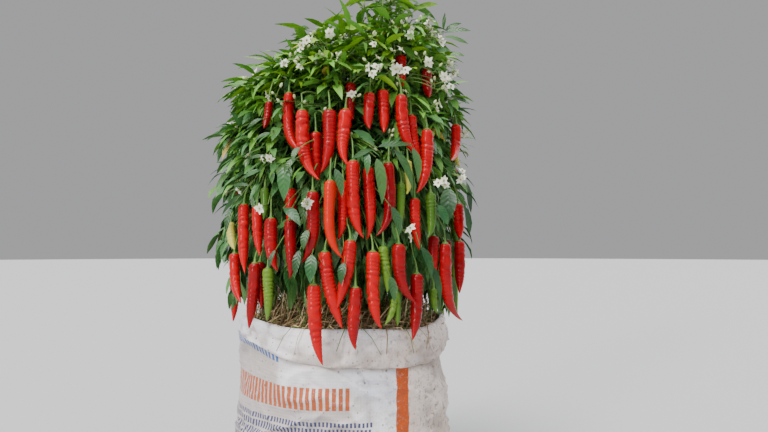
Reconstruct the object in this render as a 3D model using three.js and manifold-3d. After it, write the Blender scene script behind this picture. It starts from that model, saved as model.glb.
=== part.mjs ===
// A chilli pepper plant in full fruit, growing in a woven sack of soil with its mouth folded down.
// Millimetres, +Z up. The origin is the centre of the sack's flat underside, and -Y is the front.
import * as THREE from "three";
import { mergeVertices } from "three/addons/utils/BufferGeometryUtils.js";
import Module from "manifold-3d";

const wasm = await Module();
wasm.setup();

const SEED = 7;
const GAP = 0.35; // clear space between pieces that meet
const TIDY = 0.02; // a joined solid may move this much to lose the slivers that a joint leaves
const WELL_CLEAR = 1.2; // clear space between one mass of foliage and the next

// Sack
const BASE_RADIUS = 150; // of the flat underside
const BELLY_RADIUS = 172; // at its widest
const BELLY_HEIGHT = 155;
const RIM_RADIUS = 163;
const WALL_HEIGHT = 324; // the fold of the cuff adds 6 to this
const CORNER_HEIGHT = 36; // of the round bottom edge
const CLOTH = 2.5; // two layers of cloth and the slack between them
const CUFF_DEPTH = 25; // mean depth of the folded mouth
const CUFF_SWAY = 20; // how much deeper it is at the front right than behind
const CUFF_LOWEST = -50; // azimuth where the cuff hangs lowest
const CUFF_LEAST = 17; // depth that it keeps behind and at the left
const CUFF_RIPPLE = 2.5; // three waves round its lower edge
const SACK_SIDES = 26;

// Soil and straw
const SOIL_LEVEL = 303;
const STRAW_INNER = 17;
const STRAW_OUTER = 150;
const STRAW_HEAP = 46; // height of the heap above the soil, near the stem
const STRAW_COUNT = 16;
const STRAW_LENGTH = 62;
const STRAW_RADIUS = 1.7;

// Limbs
const STEM_FOOT_RADIUS = 9;
const STEM_FLARE = 5; // added at the very foot
const FIRST_FORK = 400; // height
const SECOND_FORK = 462;
const THIRD_FORK = 532;
const LIMB_RADII = [7.6, 6.2, 5, 3.9]; // at the first, second and third forks, and at the tips

// Crown
const CROWN_RADIUS = 200;
const FURTHEST = 236; // from the axis to the furthest leaf tip
const SHOULDER = 545; // below this height the crown keeps its full radius
const DOME_HEIGHT = 275; // from the shoulder to the top
const RIGHT_RISE = 0.62; // the dome's right half is higher by this share of x
const OUTER_MASSES = 8;
const TOP_MASSES = 4;
const SECTOR = 360 / OUTER_MASSES;
const TURN = -SECTOR / 2; // puts the middle of one mass at the very front
const LOWEST_LEVEL = 428; // of the twig tips that fruit hangs from
const ROW_STEP = 66;
const FRUITING_TWIGS = 10; // in an outer mass, two to a row
const COLUMN_STEP = 21; // degrees

// Fruit, leaves and flowers
const FRUIT_LENGTH = 128; // with its stalk
const FRUIT_HOOK = 17; // sideways reach of the curved tip
const FRUIT_SIDES = 4;
const FRUIT_RINGS = [ // share of the length, and radius
  [0.19, 2.1],
  [0.235, 8],
  [0.64, 9.4],
  [1, 0],
];
const MASS_STEM_RADII = [3.3, 2.7]; // at the foot and the tip of a mass's own stem
const TWIG_RADIUS = 1.7;
const LEAF_LENGTH = 92;
const LEAF_WIDTH = 42;
const LEAF_THICKNESS = 1.3;
const FLOWER_RADIUS = 14;
const PETALS = 5;

const DOWN = new THREE.Vector3(0, 0, -1);
const UP = new THREE.Vector3(0, 0, 1);
const radians = THREE.MathUtils.degToRad;
const { lerp, clamp, smoothstep } = THREE.MathUtils;

const paint = (color, roughness) => new THREE.MeshStandardMaterial({ color, roughness, metalness: 0 });
const wovenWhite = paint(0xd9d6d2, 0.55);
const darkSoil = paint(0x3a2b20, 0.95);
const dryStraw = paint(0xb0925a, 0.85);
const greenBark = paint(0x6f7d45, 0.7);
const leafGreen = paint(0x2f6b2c, 0.5);

// Chance

// A number from 0 to 1 that depends only on the whole numbers given.
function chance(...keys) {
  let h = SEED;
  for (const key of keys) {
    h = Math.imul(h ^ (key + 1), 0x9e3779b1);
    h = Math.imul(h ^ (h >>> 15), 0x85ebca6b);
    h ^= h >>> 13;
  }
  return (h >>> 0) / 2 ** 32;
}

const either = (spread, ...keys) => (2 * chance(...keys) - 1) * spread;

// Points and solids

function polar(azimuth, radius, height) {
  const a = radians(azimuth);
  return new THREE.Vector3(radius * Math.cos(a), radius * Math.sin(a), height);
}

// How much space a mesh encloses: below zero where its faces point inwards.
function enclosed(positions, triangles) {
  const corners = [new THREE.Vector3(), new THREE.Vector3(), new THREE.Vector3()];
  let volume = 0;
  for (let i = 0; i < triangles.length; i += 3) {
    corners.forEach((corner, k) => corner.fromArray(positions, 3 * triangles[i + k]));
    volume += corners[0].dot(corners[1].clone().cross(corners[2])) / 6;
  }
  return volume;
}

// A three.js geometry as a closed solid, turned the right way out.
function solidOf(geometry) {
  const bare = new THREE.BufferGeometry().setAttribute("position", geometry.getAttribute("position"));
  if (geometry.index) bare.setIndex(geometry.index);
  const merged = mergeVertices(bare, 1e-4);
  const vertProperties = merged.attributes.position.array;
  const triVerts = new Uint32Array(merged.index.array);
  if (enclosed(vertProperties, triVerts) < 0) triVerts.reverse();
  return new wasm.Manifold(new wasm.Mesh({ numProp: 3, vertProperties, triVerts, tolerance: TIDY }));
}

// A solid as a three.js geometry.
function geometryOf(solid) {
  const { numProp, vertProperties, triVerts } = solid.getMesh();
  const positions = new Float32Array((vertProperties.length / numProp) * 3);
  for (let i = 0; i < positions.length / 3; i++) {
    positions.set(vertProperties.subarray(i * numProp, i * numProp + 3), 3 * i);
  }
  const geometry = new THREE.BufferGeometry();
  geometry.setAttribute("position", new THREE.BufferAttribute(positions, 3));
  return geometry.setIndex(new THREE.BufferAttribute(triVerts, 1));
}

// The largest body of a geometry, by way of shared edges: scraps and sealed hollows are left out.
function largestBody(geometry) {
  const positions = geometry.getAttribute("position").array;
  const triangles = geometry.index.array;
  const count = triangles.length / 3;
  const leader = Array.from({ length: count }, (_, i) => i);
  const find = (i) => {
    while (leader[i] !== i) i = leader[i] = leader[leader[i]];
    return i;
  };
  const edges = new Map();
  for (let i = 0; i < triangles.length; i++) {
    const triangle = Math.floor(i / 3);
    const next = 3 * triangle + ((i + 1) % 3);
    edges.set(`${triangles[i]} ${triangles[next]}`, triangle);
    const other = edges.get(`${triangles[next]} ${triangles[i]}`);
    if (other !== undefined) leader[find(other)] = find(triangle);
  }
  const bodies = new Map();
  for (let i = 0; i < count; i++) {
    const body = bodies.get(find(i)) ?? [];
    body.push(...triangles.subarray(3 * i, 3 * i + 3));
    bodies.set(find(i), body);
  }
  const indices = [...bodies.values()];
  const volumes = indices.map((body) => enclosed(positions, body));
  return geometry.clone().setIndex(indices[volumes.indexOf(Math.max(...volumes))]);
}

// Joined solids as one clean body.
const wholePiece = (solid) => solidOf(largestBody(geometryOf(solid)));

const joined = (solids) => solids.reduce((whole, solid) => whole.add(solid));
const touch = (a, b) => a.intersect(b).getMesh().triVerts.length > 0;

// Moves every vertex of a geometry to where the function puts it.
function reshape(geometry, place) {
  const position = geometry.getAttribute("position");
  const p = new THREE.Vector3();
  for (let i = 0; i < position.count; i++) {
    p.fromBufferAttribute(position, i);
    const q = place(p);
    position.setXYZ(i, q.x, q.y, q.z);
  }
  return geometry;
}

// A tube along a curve, through rings that each have a place along it and a radius. The places run
// from 0 to 1, and one outside that range carries the curve straight on.
function sweep(curve, rings, sides) {
  const steps = rings.length - 1;
  const closing = rings[steps][1] === 0;
  const geometry = new THREE.CylinderGeometry(closing ? 0 : 1, 1, 1, sides, steps);
  const level = new THREE.Vector3().subVectors(curve.getPoint(1), curve.getPoint(0)).cross(UP).normalize();
  const stations = rings.map(([share, radius]) => {
    const at = clamp(share, 0, 1);
    const tangent = curve.getTangentAt(at);
    const centre = curve.getPointAt(at).addScaledVector(tangent, (share - at) * curve.getLength());
    const across = level.clone().addScaledVector(tangent, -level.dot(tangent)).normalize();
    return { centre, across, upright: tangent.cross(across), radius };
  });
  return reshape(geometry, (p) => {
    const { centre, across, upright, radius } = stations[Math.round(clamp(p.y + 0.5, 0, 1) * steps)];
    const round = Math.hypot(p.x, p.z);
    const reach = round < 1e-6 ? 0 : radius / round;
    return centre.clone().addScaledVector(across, p.x * reach).addScaledVector(upright, p.z * reach);
  });
}

// The straight lines that a tube with even rings follows in place of its curve.
function chords(curve, steps) {
  const points = curve.getSpacedPoints(steps);
  const path = new THREE.CurvePath();
  points.slice(1).forEach((point, i) => path.add(new THREE.LineCurve3(points[i], point)));
  return path;
}

// Rings for an even taper along part of a curve.
function taper(from, to, steps, start = 0) {
  return Array.from({ length: steps + 1 }, (_, i) => {
    const share = lerp(start, 1, i / steps);
    return [share, lerp(from, to, share)];
  });
}

const arc = (from, by, to) => new THREE.QuadraticBezierCurve3(from, by, to);

// Sack, its folded cuff, soil and straw

// How far the filled sack is out of round, as a share of its radius.
function slump(angle, z) {
  return (
    1 +
    0.012 * Math.cos(2 * (angle - 0.6)) +
    0.008 * Math.cos(3 * angle + 1.1 + z / 180) +
    0.004 * Math.sin(5 * angle - z / 90)
  );
}

// The sack's outer radius at a height, before it is slumped.
function wallRadius(z) {
  const narrowing = (BELLY_RADIUS - RIM_RADIUS) / (WALL_HEIGHT - BELLY_HEIGHT) ** 2;
  const side = (height) => BELLY_RADIUS - narrowing * (height - BELLY_HEIGHT) ** 2;
  if (z >= CORNER_HEIGHT) return side(z);
  const corner = Math.sqrt(Math.max(0, 1 - ((CORNER_HEIGHT - z) / CORNER_HEIGHT) ** 2));
  return lerp(BASE_RADIUS, side(CORNER_HEIGHT), corner);
}

// The rim rises and dips as it goes round, and everything near it follows.
function rimWave(angle, z) {
  const wave = 4.5 * Math.sin(2 * angle + 0.5) + 2.5 * Math.sin(5 * angle + 2);
  return wave * smoothstep(z, 0.6 * WALL_HEIGHT, WALL_HEIGHT);
}

// Turns a profile of [radius, height] points round the Z axis, then slumps it like the sack and lifts it.
function turned(profile, sides, lift = () => 0) {
  const points = profile.map(([r, z]) => new THREE.Vector2(r, z));
  const lathe = new THREE.LatheGeometry(points, sides).rotateX(Math.PI / 2);
  return reshape(lathe, (p) => {
    const angle = Math.atan2(p.y, p.x);
    const round = slump(angle, p.z);
    return new THREE.Vector3(p.x * round, p.y * round, p.z + lift(angle, p.z));
  });
}

function sackWall(offset, from, to, steps) {
  return Array.from({ length: steps + 1 }, (_, i) => {
    const z = lerp(from, to, i / steps);
    return [wallRadius(z) - offset, z];
  });
}

function makeSack() {
  const corner = sackWall(0, 0, CORNER_HEIGHT, 3);
  const outside = sackWall(0, CORNER_HEIGHT, WALL_HEIGHT, 4).slice(1);
  const inside = sackWall(CLOTH, WALL_HEIGHT, CORNER_HEIGHT, 3);
  const floor = [
    [BASE_RADIUS, CLOTH],
    [0, CLOTH],
  ];
  return turned([[0, 0], ...corner, ...outside, ...inside, ...floor], SACK_SIDES, rimWave);
}

// The mouth of the sack is folded outwards and hangs over its own rim.
function makeCuff() {
  const slack = 2 * GAP;
  const inner = CLOTH + slack;
  const outerLeg = [
    [slack, slack],
    [1.6, -12],
    [3.4, -CUFF_DEPTH],
    [6.4, -CUFF_DEPTH],
    [5.2, -12],
    [3.8, 2.5],
  ];
  const fold = [
    [0, 6.5],
    [-inner - 2, 5],
  ];
  const innerLeg = [
    [-inner - 2.4, -8],
    [-inner, -8],
    [-inner, slack],
  ];
  const section = [...outerLeg, ...fold, ...innerLeg, outerLeg[0]];
  const place = ([out, up]) => [wallRadius(WALL_HEIGHT + Math.min(0, up)) + out, WALL_HEIGHT + up];
  const lift = (angle, z) => {
    const sway = Math.max(CUFF_LEAST - CUFF_DEPTH, CUFF_SWAY * Math.cos(angle - radians(CUFF_LOWEST)));
    const deeper = sway + CUFF_RIPPLE * Math.sin(3 * angle);
    return rimWave(angle, z) - deeper * smoothstep(WALL_HEIGHT - z, 8, CUFF_DEPTH);
  };
  return turned(section.map(place), SACK_SIDES, lift);
}

function makeSoil() {
  const inset = CLOTH + 4 * GAP;
  const side = sackWall(inset, CORNER_HEIGHT, SOIL_LEVEL, 3);
  const bottom = CLOTH + GAP;
  const top = [40, SOIL_LEVEL];
  return turned([[0, bottom], [BASE_RADIUS - 4, bottom], ...side, top, [0, SOIL_LEVEL]], SACK_SIDES);
}

// A heap of dry straw round the foot of the stem, with loose stalks standing out of it.
function makeStraw(sides = 16) {
  const floor = SOIL_LEVEL + GAP;
  const heap = [
    [STRAW_INNER, floor],
    [STRAW_OUTER, floor],
    [STRAW_OUTER, floor + 9],
    [0.78 * STRAW_OUTER, floor + 0.6 * STRAW_HEAP],
    [0.42 * STRAW_OUTER, floor + STRAW_HEAP],
    [STRAW_INNER + 6, floor + 0.9 * STRAW_HEAP],
    [STRAW_INNER, floor],
  ];
  const bumpy = reshape(turned(heap, sides), (p) => {
    const angle = Math.round(((Math.atan2(p.y, p.x) + 2 * Math.PI) * sides) / (2 * Math.PI)) % sides;
    const lift = p.z > floor + 20 ? either(4, 50, angle, Math.round(Math.hypot(p.x, p.y) / 20)) : 0;
    return new THREE.Vector3(p.x, p.y, p.z + lift);
  });
  const stalks = Array.from({ length: STRAW_COUNT }, (_, i) => {
    const azimuth = (i * 360) / STRAW_COUNT + either(6, 51, i);
    const radius = lerp(0.5, 0.8, chance(52, i)) * STRAW_OUTER;
    const foot = polar(azimuth, radius, floor + 0.4 * STRAW_HEAP);
    const lean = polar(azimuth + 90 + either(50, 53, i), 1, lerp(0.25, 0.9, chance(54, i)));
    const tip = foot.clone().addScaledVector(lean.normalize(), STRAW_LENGTH * lerp(0.7, 1, chance(55, i)));
    return solidOf(sweep(new THREE.LineCurve3(foot, tip), taper(STRAW_RADIUS, STRAW_RADIUS, 1), 3));
  });
  return wholePiece(joined([solidOf(bumpy), ...stalks]));
}

// Limbs: the stem forks in two, each half in two again, and each of those four in three

const limbs = []; // { name, curve, from, to, foot } with the radius at each end
const forkRight = polar(20, 40, SECOND_FORK);
const forkLeft = polar(204, 42, SECOND_FORK - 8);
const firstFork = new THREE.Vector3(5, -4, FIRST_FORK);

// A limb leaves along the way its parent went, and bends towards its own tip.
function addLimb(name, start, tip, rise, order, foot = 0) {
  const by = start.clone().lerp(tip, 0.5).addScaledVector(UP, rise);
  limbs.push({ name, curve: arc(start, by, tip), from: LIMB_RADII[order], to: LIMB_RADII[order + 1], foot });
}

const quarterAzimuth = (quarter) => (quarter * 360) / TOP_MASSES + TURN;
const thirdFork = (quarter) => polar(quarterAzimuth(quarter) + either(5, 60, quarter), 76, THIRD_FORK);
const outerAzimuth = (sector) => (sector + 0.5) * SECTOR + TURN;
const outerTip = (sector) => polar(outerAzimuth(sector) + either(2, 61, sector), 112, THIRD_FORK + 22);
const upperTip = (quarter) => polar(quarterAzimuth(quarter) + either(6, 62, quarter), 62, THIRD_FORK + 108);

const stemFoot = new THREE.Vector3(0, 0, SOIL_LEVEL + GAP);
const stemCurve = arc(stemFoot, new THREE.Vector3(0, 0, lerp(SOIL_LEVEL, FIRST_FORK, 0.6)), firstFork);
const [stemTop] = LIMB_RADII;
limbs.push({ name: "main_stem", curve: stemCurve, from: STEM_FOOT_RADIUS, to: stemTop, foot: STEM_FLARE });
addLimb("main_bough_right", firstFork, forkRight, 8, 0);
addLimb("main_bough_left", firstFork, forkLeft, 8, 0);
for (let quarter = 0; quarter < TOP_MASSES; quarter++) {
  const fork = thirdFork(quarter);
  addLimb(`bough_${quarter + 1}`, quarter < 2 ? forkRight : forkLeft, fork, -6, 1);
  for (const sector of [(2 * quarter + OUTER_MASSES - 1) % OUTER_MASSES, 2 * quarter]) {
    addLimb(`outer_branch_${sector + 1}`, fork, outerTip(sector), -5, 2);
  }
  addLimb(`upper_branch_${quarter + 1}`, fork, upperTip(quarter), 4, 2);
}

// The solid of a limb, or of a limb grown all round by a margin. A foot flares out as it nears the soil.
function limbSolid(limb, margin = 0) {
  const longer = 1 + (2 * margin) / limb.curve.getLength();
  const rings = taper(limb.from, limb.to, limb.foot ? 5 : 2).map(([share, radius]) => {
    return [0.5 + (share - 0.5) * longer, radius + limb.foot * Math.exp(-14 * share) + margin];
  });
  return solidOf(sweep(limb.curve, rings, limb.foot ? 8 : 5));
}

// Each limb is cut clear of the ones that were made before it, so forks close up without touching.
function makeLimbs() {
  const made = [];
  let taken = null;
  for (const limb of limbs) {
    const whole = limbSolid(limb);
    made.push({ name: limb.name, solid: taken ? wholePiece(whole.subtract(taken)) : whole });
    const wide = limbSolid(limb, GAP);
    taken = taken ? taken.add(wide) : wide;
  }
  return made;
}

// Crown: its outline, and the space that each mass keeps to

// A point on the crown's outline at an azimuth and a level, or the given distance inside it.
function crownPoint(azimuth, level, inset = 0) {
  const up = clamp((level - SHOULDER) / DOME_HEIGHT, 0, 1);
  const p = polar(azimuth, Math.max(0, CROWN_RADIUS * Math.sqrt(1 - up * up) - inset), level);
  p.z += RIGHT_RISE * Math.max(0, p.x) * smoothstep(up, 0, 0.9);
  return p;
}

function wedgePlanes(azimuth, halfWidth) {
  const left = polar(azimuth + halfWidth + 90, 1, 0);
  const right = polar(azimuth - halfWidth - 90, 1, 0);
  return [new THREE.Plane(left, 0), new THREE.Plane(right, 0)];
}

// The plane between an outer mass and the top mass behind it leans outwards as it rises.
function shoulderPlane(sector) {
  const normal = polar(outerAzimuth(sector), -1, 0.26).normalize();
  return new THREE.Plane().setFromNormalAndCoplanarPoint(normal, polar(outerAzimuth(sector), 66, 560));
}

function outerSpace(sector) {
  return [...wedgePlanes(outerAzimuth(sector), SECTOR / 2), shoulderPlane(sector)];
}

function topSpace(quarter) {
  const before = (2 * quarter + OUTER_MASSES - 1) % OUTER_MASSES;
  const inner = [before, 2 * quarter].map((sector) => shoulderPlane(sector).negate());
  return [...wedgePlanes(quarterAzimuth(quarter), 180 / TOP_MASSES), ...inner];
}

// Parts of a mass: twigs, leaves, fruit and flowers

// Grows one mass. A part is left out where it would leave the mass's space or the crown, touch a limb or the
// sack, or cross an earlier part anywhere past its own foot.
class Mass {
  constructor(number, space, keepOut, stem) {
    const body = solidOf(sweep(stem, taper(...MASS_STEM_RADII, 3), 5));
    Object.assign(this, { number, space, keepOut, stem: chords(stem, 3), body });
  }

  outside(geometry) {
    const position = geometry.getAttribute("position");
    const point = (_, i) => new THREE.Vector3().fromBufferAttribute(position, i);
    const points = Array.from({ length: position.count }, point);
    const past = (p) => this.space.some((plane) => plane.distanceToPoint(p) > -WELL_CLEAR);
    return points.some((p) => past(p) || Math.hypot(p.x, p.y) > FURTHEST);
  }

  // Takes the whole part, and the same part without its foot.
  add(whole, free) {
    if (this.outside(whole) || touch(solidOf(free), this.body)) return false;
    const solid = solidOf(whole);
    if (touch(solid, this.keepOut) || !touch(solid, this.body)) return false;
    this.body = this.body.add(solid);
    return true;
  }

  // Tries a twig a few times, each time from lower down the stem, and gives back its curve once it is clear.
  // With fruit, the twig goes on into a stalk and the fruit that hangs from it.
  twig(share, lift, end, outward, fruiting, ...keys) {
    for (let attempt = 0; attempt < 6; attempt++) {
      const start = this.stem.getPointAt(clamp(share - 0.05 * attempt, 0, 1));
      const curve = arc(start, start.clone().lerp(end, 0.55).add(lift), end);
      const path = new THREE.CurvePath();
      path.add(curve);
      if (fruiting) path.add(hangingCurve(end, outward, ...keys, attempt));
      const split = curve.getLength() / path.getLength();
      const wood = (from) => taper(TWIG_RADIUS, 0.9 * TWIG_RADIUS, 2, from).map(([t, r]) => [t * split, r]);
      const rest = fruiting ? FRUIT_RINGS.map(([t, r]) => [lerp(split, 1, t), r]) : [];
      const tube = (from) => sweep(path, [...wood(from), ...rest], fruiting ? FRUIT_SIDES : 3);
      if (this.add(tube(0), tube(0.22))) return chords(curve, 2);
    }
    return null;
  }

  // Tries a leaf a few times, turned another way each time, until one is clear.
  leaf(foot, outward, droop, scale, ...keys) {
    for (let attempt = 0; attempt < 9; attempt++) {
      const azimuth = outward + either(20 + 17 * attempt, ...keys, attempt, 1);
      const fall = droop + either(18 + 3 * attempt, ...keys, attempt, 2);
      const size = scale * lerp(0.85, 1.12 - 0.03 * attempt, chance(...keys, attempt, 3));
      const blade = (start) => leafBlade(foot, azimuth, fall, size, start);
      if (this.add(blade(0), blade(0.2))) return;
    }
  }

  flower(foot, outward, ...keys) {
    const facing = polar(outward + either(60, ...keys, 8), 1, either(0.5, ...keys, 9)).normalize();
    const open = (distance) => starFlower(foot.clone().addScaledVector(facing, distance), facing);
    this.add(open(1), open(6));
  }

  solid() {
    return wholePiece(this.body);
  }
}

// The line of a stalk and its fruit: out a little, down, and aside at the curved tip.
function hangingCurve(top, outward, ...keys) {
  const length = FRUIT_LENGTH * lerp(0.8, 1.14, chance(...keys, 4));
  const hook = polar(outward + either(110, ...keys, 7), FRUIT_HOOK * chance(...keys, 6), 0);
  const tip = top.clone().add(polar(outward, 5, -0.97 * length)).add(hook);
  const high = top.clone().add(polar(outward, 9, -0.1 * length));
  const low = tip.clone().addScaledVector(hook, -1.5).addScaledVector(UP, 0.4 * length);
  return new THREE.CubicBezierCurve3(top, high, low, tip);
}

// A leaf of eight faces: a pointed blade, widest near its foot, with its midrib folded down.
function leafBlade(foot, azimuth, fall, size, start) {
  const along = polar(azimuth, Math.cos(radians(fall)), -Math.sin(radians(fall)));
  const across = new THREE.Vector3().crossVectors(along, UP).normalize();
  const face = new THREE.Vector3().crossVectors(across, along);
  const droop = 0.1 * LEAF_LENGTH;
  const tip = foot.clone().addScaledVector(along, LEAF_LENGTH * size).addScaledVector(DOWN, droop);
  const middle = foot.clone().addScaledVector(along, 0.42 * LEAF_LENGTH * size);
  const root = foot.clone().lerp(middle, start);
  return reshape(new THREE.OctahedronGeometry(1), (p) => {
    if (Math.abs(p.x) > 0.5) return p.x < 0 ? root.clone() : tip.clone();
    const fold = p.z === 0 ? 0 : -1.5;
    return middle
      .clone()
      .addScaledVector(across, (p.y * size * LEAF_WIDTH) / 2)
      .addScaledVector(face, fold + (p.z * LEAF_THICKNESS) / 2);
  });
}

// A flat star of pointed petals, thickest at its middle.
function starFlower(centre, facing) {
  const across = new THREE.Vector3().crossVectors(facing, UP).normalize();
  const along = new THREE.Vector3().crossVectors(across, facing);
  const star = new THREE.ConeGeometry(1, 1, 2 * PETALS, 1);
  return reshape(star, (p) => {
    const petal = Math.round((Math.atan2(p.x, p.z) * PETALS) / Math.PI);
    const round = Math.hypot(p.x, p.z) < 1e-6 ? 0 : FLOWER_RADIUS * (petal % 2 === 0 ? 1 : 0.4);
    return centre
      .clone()
      .addScaledVector(across, p.x * round)
      .addScaledVector(along, p.z * round)
      .addScaledVector(facing, round > 0 ? 0 : 4 * p.y);
  });
}

// Masses: twigs branch from one stem that goes on from the tip of its branch

// The stem of a mass starts just clear of the tip of its branch.
function massStem(limbName, by, to) {
  const limb = limbs.find(({ name }) => name === limbName);
  const tip = limb.curve.getPoint(1);
  const along = limb.curve.getTangent(1);
  const start = tip.clone().addScaledVector(along, GAP);
  const first = start.clone().addScaledVector(along, 0.3 * start.distanceTo(by));
  return new THREE.CubicBezierCurve3(start, first, by, to);
}

// A leafy shoot: a flower at its tip, and leaves all round it that are smaller than those lower down.
function dressShoot(mass, { curve, outward }, leaves, key) {
  if (!curve) return;
  if (key % 3 === 0) mass.flower(curve.getPointAt(0.99), outward, mass.number, key, 30);
  for (let i = 0; i < leaves; i++) {
    const turn = ((i + 0.5) / leaves - 0.5) * 270;
    mass.leaf(curve.getPointAt(0.97 - 0.08 * i), outward + turn, -12, 0.8, mass.number, key, 20 + i);
  }
}

// One fruiting twig of an outer mass. Its level and its place to the side come from its number.
function fruitingTwig(mass, azimuth, number) {
  const column = number % 2;
  const outward = azimuth + (column - 0.5) * COLUMN_STEP + (Math.floor(number / 2) % 2 ? 2.5 : -2.5);
  const level = LOWEST_LEVEL + (number * ROW_STEP) / 2 + either(7, mass.number, number, 5);
  const end = crownPoint(outward, level, 4 + 16 * chance(mass.number, number, 4));
  const share = 0.05 + 0.09 * number;
  const curve = mass.twig(share, polar(azimuth, 6, 22), end, outward, true, mass.number, number);
  return { curve, outward, number };
}

function outerMass(sector, keepOut) {
  const azimuth = outerAzimuth(sector);
  const branch = `outer_branch_${sector + 1}`;
  const stem = massStem(branch, crownPoint(azimuth, 630, 62), crownPoint(azimuth, 705, 40));
  const mass = new Mass(sector, outerSpace(sector), keepOut, stem);
  const shoots = [-14, 0, 14].map((turn, i) => {
    const outward = azimuth + turn;
    const end = crownPoint(outward, 728 + either(20, sector, 90 + i), 4);
    return { curve: mass.twig(0.8 + 0.09 * i, polar(azimuth, 2, 6), end, outward, false), outward };
  });
  const twigs = Array.from({ length: FRUITING_TWIGS }, (_, i) => fruitingTwig(mass, azimuth, i));
  const grown = twigs.filter(({ curve }) => curve);
  shoots.forEach((shoot, i) => dressShoot(mass, shoot, 3, 91 + i));
  for (let i = 0; i < 2; i++) {
    for (const { curve, outward, number } of grown) {
      const droop = (number < 6 ? 54 : 32) - 16 * i;
      const turn = i ? 75 * (number % 2 ? 1 : -1) : 0;
      mass.leaf(curve.getPointAt(0.96 - 0.2 * i), outward + turn, droop, 1, sector, number, 40 + i);
    }
  }
  return mass.solid();
}

// A top mass goes up: its twigs spread to the dome and end in leaves and flowers.
function topMass(quarter, keepOut) {
  const azimuth = quarterAzimuth(quarter);
  const number = OUTER_MASSES + quarter;
  const lead = quarter === 0 ? 26 : 0; // the shoot to the right is the highest
  const branch = `upper_branch_${quarter + 1}`;
  const stem = massStem(branch, polar(azimuth, 72, 700), polar(azimuth, 78, 752 + lead));
  const mass = new Mass(number, topSpace(quarter), keepOut, stem);
  const shoots = Array.from({ length: 7 }, (_, i) => {
    const outward = azimuth + [0, -29, 29][i % 3] + either(5, number, i, 1);
    const reach = [104, 58, 82][Math.floor(i / 3)];
    const up = Math.sqrt(1 - (reach / CROWN_RADIUS) ** 2);
    const end = crownPoint(outward, SHOULDER + up * DOME_HEIGHT, 0).addScaledVector(UP, lead * 0.7 - 14);
    return { curve: mass.twig(0.3 + 0.1 * i, polar(outward, 6, 4), end, outward, false), outward };
  });
  shoots.forEach((shoot, i) => dressShoot(mass, shoot, 4, 70 + i));
  return mass.solid();
}

// Assembly

function meshOf(name, solid, material) {
  const geometry = geometryOf(solid);
  geometry.computeVertexNormals();
  const mesh = new THREE.Mesh(geometry, material.clone());
  mesh.name = name;
  return mesh;
}

const plant = new THREE.Group();
const sack = solidOf(makeSack());
const cuff = solidOf(makeCuff());
const straw = makeStraw();
plant.add(meshOf("sack", sack, wovenWhite));
plant.add(meshOf("sack_cuff", cuff, wovenWhite));
plant.add(meshOf("soil", solidOf(makeSoil()), darkSoil));
plant.add(meshOf("straw_mulch", straw, dryStraw));
for (const { name, solid } of makeLimbs()) plant.add(meshOf(name, solid, greenBark));

// The foliage stays clear of the limbs, and of the sack and straw made a little larger all round.
const larger = (solid) => solidOf(geometryOf(solid).scale(1.012, 1.012, 1.006));
const around = limbs.map((limb) => limbSolid(limb, GAP - 0.05));
const keepOut = joined([larger(sack), larger(cuff), larger(straw), ...around]);
for (let sector = 0; sector < OUTER_MASSES; sector++) {
  plant.add(meshOf(`foliage_outer_${sector + 1}`, outerMass(sector, keepOut), leafGreen));
}
for (let quarter = 0; quarter < TOP_MASSES; quarter++) {
  plant.add(meshOf(`foliage_top_${quarter + 1}`, topMass(quarter, keepOut), leafGreen));
}

export default plant;
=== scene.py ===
import math

import bpy
import numpy as np
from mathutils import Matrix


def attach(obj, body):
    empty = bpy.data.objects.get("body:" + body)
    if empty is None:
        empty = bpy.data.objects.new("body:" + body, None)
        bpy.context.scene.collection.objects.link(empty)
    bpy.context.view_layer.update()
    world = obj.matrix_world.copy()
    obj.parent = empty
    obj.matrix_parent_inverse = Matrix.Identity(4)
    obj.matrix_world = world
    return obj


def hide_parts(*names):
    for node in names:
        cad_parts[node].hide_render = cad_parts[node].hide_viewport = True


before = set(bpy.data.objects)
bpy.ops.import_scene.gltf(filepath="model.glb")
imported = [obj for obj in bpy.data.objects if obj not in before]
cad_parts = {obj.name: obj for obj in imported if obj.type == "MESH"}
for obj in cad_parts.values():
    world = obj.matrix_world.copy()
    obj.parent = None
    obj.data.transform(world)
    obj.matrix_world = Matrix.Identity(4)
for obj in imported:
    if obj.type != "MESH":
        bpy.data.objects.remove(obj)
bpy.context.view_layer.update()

# Camera. It stands at the photograph's own viewpoint, a little right of the plant and level
# with its lower fruit, and is tipped up a touch towards the top of the plant.
PHOTO_LENS, SENSOR_WIDTH, NEAREST_SEEN = 27.2, 36, 0.02
PHOTO_PLACE = (0.068, -0.96, 0.4375)
PHOTO_TILT = 3.35

camera = bpy.data.objects.new("photo_camera", bpy.data.cameras.new("photo_camera"))
camera.data.lens = PHOTO_LENS
camera.data.sensor_width = SENSOR_WIDTH
camera.data.clip_start = NEAREST_SEEN
camera.location = PHOTO_PLACE
camera.rotation_euler = (math.radians(90 + PHOTO_TILT), 0, 0)
bpy.context.scene.collection.objects.link(camera)
bpy.context.scene.camera = camera

# Studio. A pale floor that runs on past the horizon, a sky that is brightest overhead, one
# broad soft light from high at the front left, a low one beside it and a weak one opposite.
# Each light has its name, where it shines from, its strength and its width in degrees.
FLOOR_RINGS, FLOOR_SIDES = np.array([10, 1000, 3000, 8000, 30000]), 64
SKY_LOW, SKY_HIGH = (0.4, 0.4, 0.41, 1), (2.0, 2.07, 2.2, 1)
SKY_LOW_LEVEL, SKY_HIGH_LEVEL = 0.42, 0.9
LIGHT_COLOUR = (1, 0.975, 0.94)
LIGHTS = (("key_light", (-0.36, -0.66, 1.05), 3.1, 26),
          ("low_light", (-0.72, -1.0, 0.3), 1.2, 9),
          ("fill_light", (0.8, 0.9, 0.7), 0.6, 50))


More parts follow.
